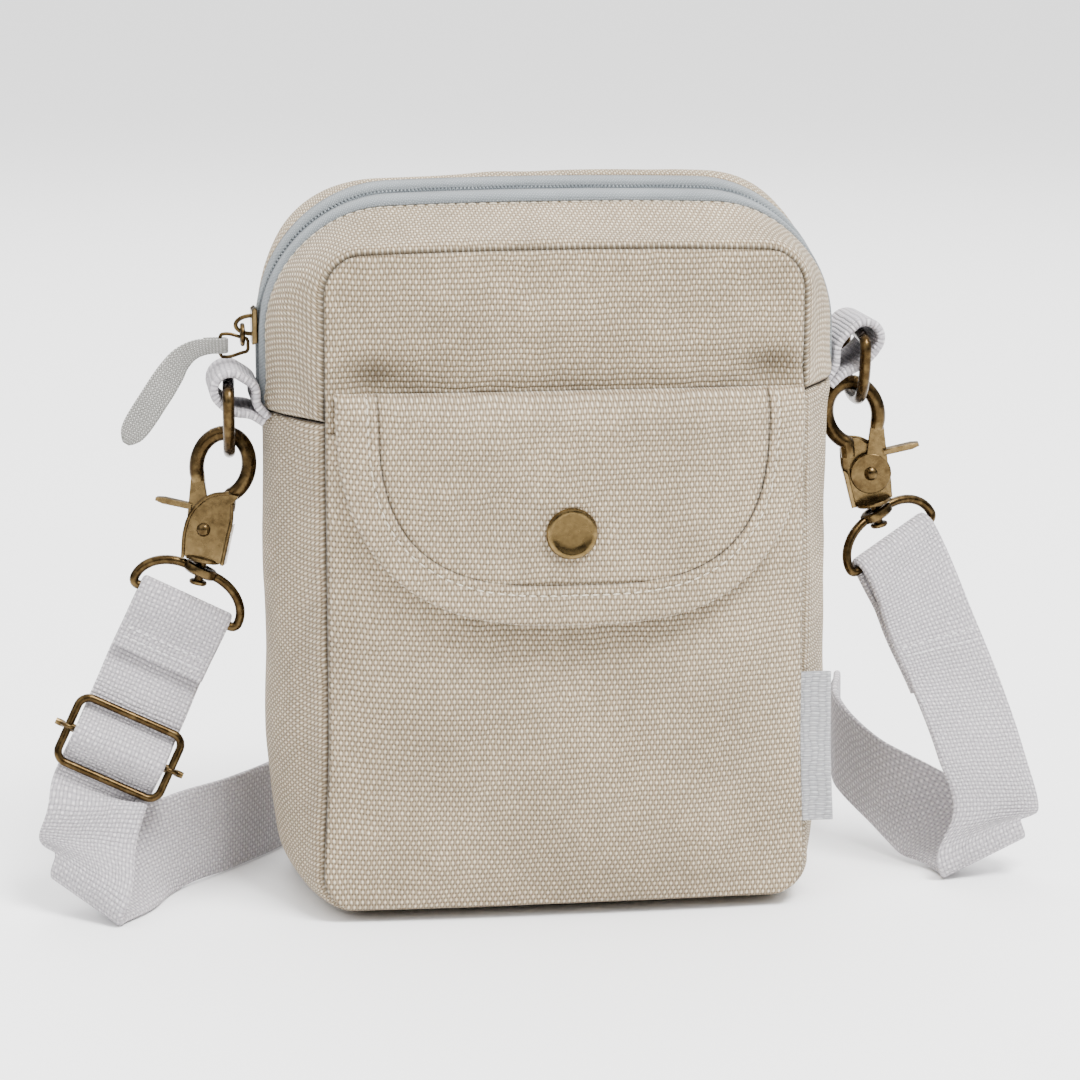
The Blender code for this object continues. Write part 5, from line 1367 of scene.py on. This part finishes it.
def strap_ring(side):
    """A wire like a bell, |x| from the eye out by sin and down by cos, and its cast eye."""
    half, start, corner = 29 * MM / 2, 9 * MM / 2 - RING_WIRE / 2, 1.5 * MM
    waist = RING_DROP - corner
    a = np.linspace(0, math.pi / 2, 20)
    upper = np.stack([start + (half - start) * np.sin(a), 0 * a, -waist + waist * np.cos(a)], axis=1)
    a = np.linspace(0, math.pi / 2, 7)[1:]
    lower = np.stack([half - corner + corner * np.cos(a), 0 * a, -waist - corner * np.sin(a)], axis=1)
    right = np.concatenate([upper, lower])
    loop = np.concatenate([right, (right * [-1, 1, 1])[::-1]])
    wire = tube_part(loop, (0, 1, 0), RING_WIRE / 2, closed=True, sides=18)
    a = full_turn(48)
    lobe = np.stack([np.sign(np.cos(a)) * np.abs(np.cos(a)) ** 0.8 * 3.2 * MM,
                     np.sign(np.sin(a)) * np.abs(np.sin(a)) ** 0.9 * 2.6 * MM, 0 * a], axis=1)
    eye_profile = np.array([(1.3, 0.0), (1.15, 0.9), (0.5, 1.35), (-0.35, 1.3), (-0.72, 0.7),
                            (-0.75, 0.0), (-0.72, -0.7), (-0.35, -1.3), (0.5, -1.35),
                            (1.15, -0.9)]) * MM
    radial = unit(lobe * [1.0, 1.35, 1.0])
    up = np.broadcast_to(np.array([0.0, 0.0, 1.0]), lobe.shape)
    eye = carried_part(lobe, radial, up, eye_profile, True)
    return [moved(part, side["ring"]) for part in (wire, eye)]


for side in (LEFT, RIGHT):
    name = side["name"]
    piece("d_ring_wire_" + name, d_ring(side), BRASS, ["d_ring_" + name])
    piece("strap_ring_wire_" + name, strap_ring(side), BRASS, ["strap_ring_" + name])

middle, across, slope, front = adjuster_axes()
adjuster = np.eye(4)
adjuster[:3, 0], adjuster[:3, 1], adjuster[:3, 2], adjuster[:3, 3] = across, -front, -slope, middle


def rounded_loop(width, height, radius, count=10):
    """Closed rounded rectangle (a, 0, b)."""
    angle = np.linspace(0, math.pi / 2, count)
    corners = []
    for turn, (sa, sb) in enumerate(((1, 1), (-1, 1), (-1, -1), (1, -1))):
        swept = angle + turn * math.pi / 2
        corners.append(np.stack([sa * (width / 2 - radius) + radius * np.cos(swept), 0 * swept,
                                 sb * (height / 2 - radius) + radius * np.sin(swept)], axis=1))
    return np.concatenate(corners)


frame_loop = rounded_loop(ADJUSTER_LENGTH, ADJUSTER_WIDTH, 3.0 * MM)
frame_wire = tube_part(frame_loop, (0, 1, 0), ADJUSTER_WIRE / 2, sides=18)
piece("adjuster_wire", [moved(frame_wire, adjuster)], BRASS, ["adjuster_frame"])
reach = ADJUSTER_LENGTH / 2
bar_path = np.stack([np.linspace(-reach + 1.2 * MM, reach - 1.2 * MM, 20), np.zeros(20),
                     np.zeros(20)], axis=1)
bar_parts = [tube_part(bar_path, (0, 1, 0), 1.1 * MM, closed=False)]
CURL_RADIUS = 1.75 * MM
for end in (-1, 1):
    a = full_turn(40)
    circle = np.stack([end * reach + CURL_RADIUS * np.cos(a), CURL_RADIUS * np.sin(a), 0 * a],
                      axis=1)
    bar_parts.append(tube_part(circle, (0, 0, 1), 0.62 * MM))
    stub = np.stack([np.linspace(end * (reach + 2.0 * MM), end * (reach + 2.7 * MM), 4),
                     np.zeros(4), np.zeros(4)], axis=1)
    bar_parts.append(tube_part(stub, (0, 1, 0), 0.9 * MM, closed=False))
piece("adjuster_slide", [moved(part, adjuster) for part in bar_parts], BRASS, ["adjuster_bar"])

# %% [markdown]
# ## Trigger hooks
# A trigger hook is a cast ring split at the top left: the fixed arm belongs to the body and the
# other side swings with the lever.  Everything lies in one plane, so the ring is wire on an
# ellipse and the body is plates, discs and turned posts about it.

# %% Hooks
MOUTH = 117
PIN = (-1.0 * MM, 10.8 * MM)
DISC = 10.8 * MM
FLANGE = 9.4 * MM
RADII = ((HOLE_WIDTH + HOOK_WIRE) / 2, (HOLE_HEIGHT + HOOK_WIRE) / 2)


def ellipse(start, end, count):
    """Part of the ring's ellipse between two angles: (a cos t, 0, b sin t) about its middle."""
    angle = np.radians(np.linspace(start, end, count))
    return np.stack([RADII[0] * np.cos(angle), 0 * angle, HOOK_RING + RADII[1] * np.sin(angle)],
                    axis=1)


def disc_profile(radius, back, front, bevel=0.25 * MM):
    """A flat disc between two heights, with its edges broken."""
    return np.array([(0, back), (radius - bevel, back), (radius, back + bevel),
                     (radius, front - bevel), (radius - bevel, front), (0, front)])


PLATE_FRONT = -2.6 * MM
PLATE_FOOT = 3.1 * MM
SIDE_WALL = 1.3 * MM


def bead_part(points, count):
    """A thin round bead along the spline through a few points."""
    return tube_part(resampled(np.array(points), count), (0, 1, 0), 0.5 * MM, closed=False,
                     sides=10)


def hook_body(side):
    """The fixed arm, the front plate with its beads and side wall, the flange and the post."""
    foot = HOOK_RING - RADII[1] - HOOK_WIRE * 0.3
    arc = ellipse(MOUTH - 2.5, -62, 60)
    arc = np.concatenate([arc, [[RADII[0] * 0.52, 0, foot]]])
    parts = [tube_part(arc, (0, 1, 0), HOOK_WIRE / 2, closed=False, sides=22)]
    wall = PIN[0] + DISC / 2 + GAP
    hole_foot = HOOK_RING - HOLE_HEIGHT / 2
    outline = np.array([
        (-FLANGE * 0.55, PLATE_FOOT), (wall + SIDE_WALL, PLATE_FOOT),
        (wall + SIDE_WALL, PIN[1] + 2 * MM),
        (RADII[0] * 0.72, foot), (RADII[0] * 0.9, hole_foot), (RADII[0] * 0.4, hole_foot),
        (-RADII[0] * 0.1, hole_foot - HOOK_WIRE * 0.32), (-FLANGE * 0.56, PIN[1] + DISC * 0.33),
        (-FLANGE * 0.63, PIN[1] - 1 * MM)])
    parts.append(plate_part(outline, PLATE_FRONT, -1.3 * MM))
    left = outline[[0, 8, 7, 6, 5]] + [0.3 * MM, 0]
    parts.append(bead_part([(x, PLATE_FRONT, z) for x, z in left], 40))
    parts.append(bead_part([
        (wall + 0.8 * MM, PLATE_FRONT, 3.4 * MM), (wall + 0.8 * MM, PLATE_FRONT, 11 * MM),
        (wall + 0.9 * MM, PLATE_FRONT, 14 * MM), (RADII[0] * 0.74, -2.5 * MM, foot)], 30))
    side_wall = np.array([(wall, PLATE_FOOT), (wall + SIDE_WALL, PLATE_FOOT),
                          (wall + SIDE_WALL, 13.5 * MM), (wall, 12.4 * MM)])
    parts.append(plate_part(side_wall, -2.5 * MM, 1.4 * MM, 0.25 * MM))
    z_axis = (0, 0, 1)
    parts.append(turned_part(disc_profile(FLANGE / 2, 2.6 * MM, 3.6 * MM), (0, 0, 0), z_axis))
    post = np.array([(0, -3.85), (2.0, -3.75), (2.3, -3.4), (2.3, -2.9), (2.0, -2.62), (1.2, -2.6),
                     (1.2, 3.0), (0, 3.0)]) * MM
    parts.append(turned_part(post, (0, 0, 0), z_axis, 32))
    return [moved(part, side["hook"]) for part in parts]


def hook_lever(side):
    """The moving arm of the ring, its neck and disc on the pin, and the thumb plate."""
    arc = ellipse(MOUTH + 2.5, 208, 40)
    parts = [tube_part(arc, (0, 1, 0), HOOK_WIRE / 2, closed=False, sides=22)]
    foot_x, foot_z = arc[-1, 0], arc[-1, 2]
    neck = np.array([
        (foot_x - HOOK_WIRE * 0.42, foot_z + 1 * MM), (foot_x + HOOK_WIRE * 0.4, foot_z + 1 * MM),
        (PIN[0], PIN[1] + DISC * 0.46), (PIN[0] + DISC * 0.30, PIN[1] + DISC * 0.2),
        (PIN[0] - DISC * 0.45, PIN[1]), (foot_x - HOOK_WIRE * 0.1, 14.7 * MM)])
    parts.append(plate_part(neck, -0.9 * MM, 0.5 * MM, 0.15 * MM))
    parts.append(turned_part(disc_profile(DISC / 2, -1.0 * MM, 0.6 * MM), (PIN[0], 0, PIN[1]),
                             (0, 1, 0), 56))
    tip = -15.0 * MM
    start = foot_x + HOOK_WIRE * 0.12
    spread = np.array([(start, 14.9 * MM), (tip + 2 * MM, 14.7 * MM), (tip, 15.1 * MM),
                       (tip, 15.9 * MM), (tip + 2 * MM, 16.3 * MM), (start, 16.4 * MM)])
    parts.append(plate_part(spread, -1.7 * MM, 1.7 * MM, 0.3 * MM))
    return [moved(part, side["hook"]) for part in parts]


def hook_rivet(side):
    """A pin with a domed head on each end."""
    dome = np.array([(0, -3.95), (0.8, -3.85), (1.4, -3.5), (1.75, -2.9), (1.0, -2.85), (1.0, 0.9),
                     (1.75, 0.95), (1.5, 1.4), (0.8, 1.75), (0, 1.85)]) * MM
    return [moved(turned_part(dome, (PIN[0], 0, PIN[1]), (0, 1, 0), 32), side["hook"])]


for side in (LEFT, RIGHT):
    name = side["name"]
    body = "hook_" + name
    piece("hook_body_metal_" + name, hook_body(side), BRASS, ["hook_body_" + name], body)
    piece("hook_lever_metal_" + name, hook_lever(side), BRASS, ["hook_lever_" + name],
          "lever_" + name)
    piece("hook_rivet_metal_" + name, hook_rivet(side), BRASS, ["hook_rivet_" + name], body)

# %% [markdown]
# ## Zip slider and pull
# The slider sits at the left end of the chain, edge on to the camera.  A link hangs in its
# bridge, an oval ring hangs in the link, and a folded tape is the pull.

# %% Zip pull
SLIDER_HEIGHT = 0.1485
SLIDER_LENGTH = 9.2 * MM
middle_section = section([0.0])
edge = side_x(middle_section, "left", SLIDER_HEIGHT + SLIDER_LENGTH * np.array([[-0.5, 0.0, 0.5]]))
slider_x = -float(edge.max()) - 0.5 * MM - 2 * GAP
# (x, z) of the slider seen from the front, in millimetres from its middle
body_outline = np.array([(-1.4, -4.6), (-0.9, -4.6), (0.0, -4.2), (0.0, 4.2), (-0.6, 4.6),
                         (-1.4, 3.9)]) * MM + np.array([slider_x, SLIDER_HEIGHT])
slider_parts = [plate_part(body_outline, -4.1 * MM, 4.1 * MM, 0.3 * MM)]
root = slider_x - 1.4 * MM * 0.8
rise = SLIDER_LENGTH * 0.25
BRIDGE_REACH = 4.2 * MM
BRIDGE_WIRE = 1.1 * MM
LINK_RADIUS = 2.4 * MM
LINK_INSIDE = 1.8 * MM
a = np.linspace(0, math.pi, 26)
bridge = np.stack([root - BRIDGE_REACH * np.sin(a), 0 * a, SLIDER_HEIGHT + rise * np.cos(a)], axis=1)
slider_parts.append(tube_part(bridge, (0, 1, 0), BRIDGE_WIRE / 2, closed=False, sides=12))
piece("zip_slider_metal", slider_parts, BRASS, ["zip_slider"])
link_x = root - BRIDGE_REACH * 0.6
link_z = SLIDER_HEIGHT - rise * 0.8 + BRIDGE_WIRE / 2 + 2 * GAP - LINK_INSIDE
a = full_turn(60)
link = np.stack([link_x + 0 * a, LINK_RADIUS * np.cos(a), link_z + LINK_RADIUS * np.sin(a)],
                axis=1)
piece("zip_link_wire", [tube_part(link, (1, 0, 0), 0.6 * MM, sides=14)], BRASS, ["zip_link"])
wire, narrow, wide, length = 0.9 * MM, 1.9 * MM, 2.9 * MM, 6.9 * MM
ring_z = link_z - LINK_INSIDE + 2 * GAP + wire / 2 - narrow
start = wire * 1.5
half = np.array([(start, 0.0), (start, 0.55 * narrow), (start * 0.75, 0.85 * narrow), (0, narrow),
                 (start - length + 0.9 * wire, wide), (start - length + 0.3 * wire, 0.96 * wide),
                 (start - length, 0.82 * wide), (start - length, 0.0)])
ring = np.concatenate([half, (half * [1, -1])[1:-1][::-1]])
ring = np.stack([link_x + ring[:, 0], 0 * ring[:, 0], ring_z + ring[:, 1]], axis=1)
piece("zip_ring_wire", [tube_part(smooth_loop(ring, 90), (0, 1, 0), wire / 2, sides=14)], BRASS,
      ["zip_ring"])

# %% [markdown]
# ## Pull tape
# The pull is one herringbone tape folded through the oval ring.  Its path starts behind the bar,
# goes round it and droops, and each row of the path also has the tape's edge direction and width.

# %% Pull tape
PULL_WIDTH = 7.5 * MM
PULL_LENGTH = 34.5 * MM
PULL_WALL = 1.2 * MM
PULL_FOLD = 0.52
bar = np.array([link_x + start - length, 0.0, ring_z])
down, hang = np.array([-1.0, 0.0, 0.0]), unit(np.array([-0.55, 0.0, -0.83]))
front = np.array([0.0, -1.0, 0.0])
upright = np.array([0.0, 0.0, 1.0])
radius, layer = wire / 2 + GAP + PULL_WALL / 2, PULL_WALL / 2 + GAP
path = [(bar + down * PULL_LENGTH * 0.12 - front * layer, upright, PULL_FOLD),
        (bar + down * radius * 2 - front * radius, upright, PULL_FOLD)]
path += [(bar - front * radius * math.cos(a) - down * radius * math.sin(a), upright, PULL_FOLD)
         for a in np.linspace(0, math.pi, 7)]
path += [(bar + down * radius * 1.5 + front * radius, upright, PULL_FOLD)]
place = bar + down * radius * 1.5 + front * layer
for step, width in enumerate((0.64, 0.80, 0.94, 1.0, 1.0, 1.0, 0.92, 0.60)):
    heading = unit(down + (hang - down) * smoothstep(2.2 * (step + 1) / 8))
    place = place + heading * PULL_LENGTH / 8
    path.append((place, np.array([heading[2], 0.0, -heading[0]]), width))
points = np.array([point for point, _, _ in path])
keys = travelled(points)
close = np.linspace(0, keys[-1], 130)
pull_places = spline(keys, points, close)
pull_sides = unit(spline(keys, [side for _, side, _ in path], close))
tip = np.clip((close / keys[-1] - 0.93) / 0.07, 0, 1)[:, None]
pull_widths = spline(keys, [[width] for _, _, width in path], close) * np.sqrt(1 - 0.85 * tip**2)
tangent = unit(np.gradient(pull_places, axis=0))
pull_normals = unit(np.cross(tangent, pull_sides))
profile = flat_profile(PULL_WIDTH, PULL_WALL, 11)
pull_part = carried_part(pull_places, pull_sides * pull_widths, pull_normals, profile, False)
piece("pull_tape", [pull_part], HERRINGBONE, ["pull_tab"])
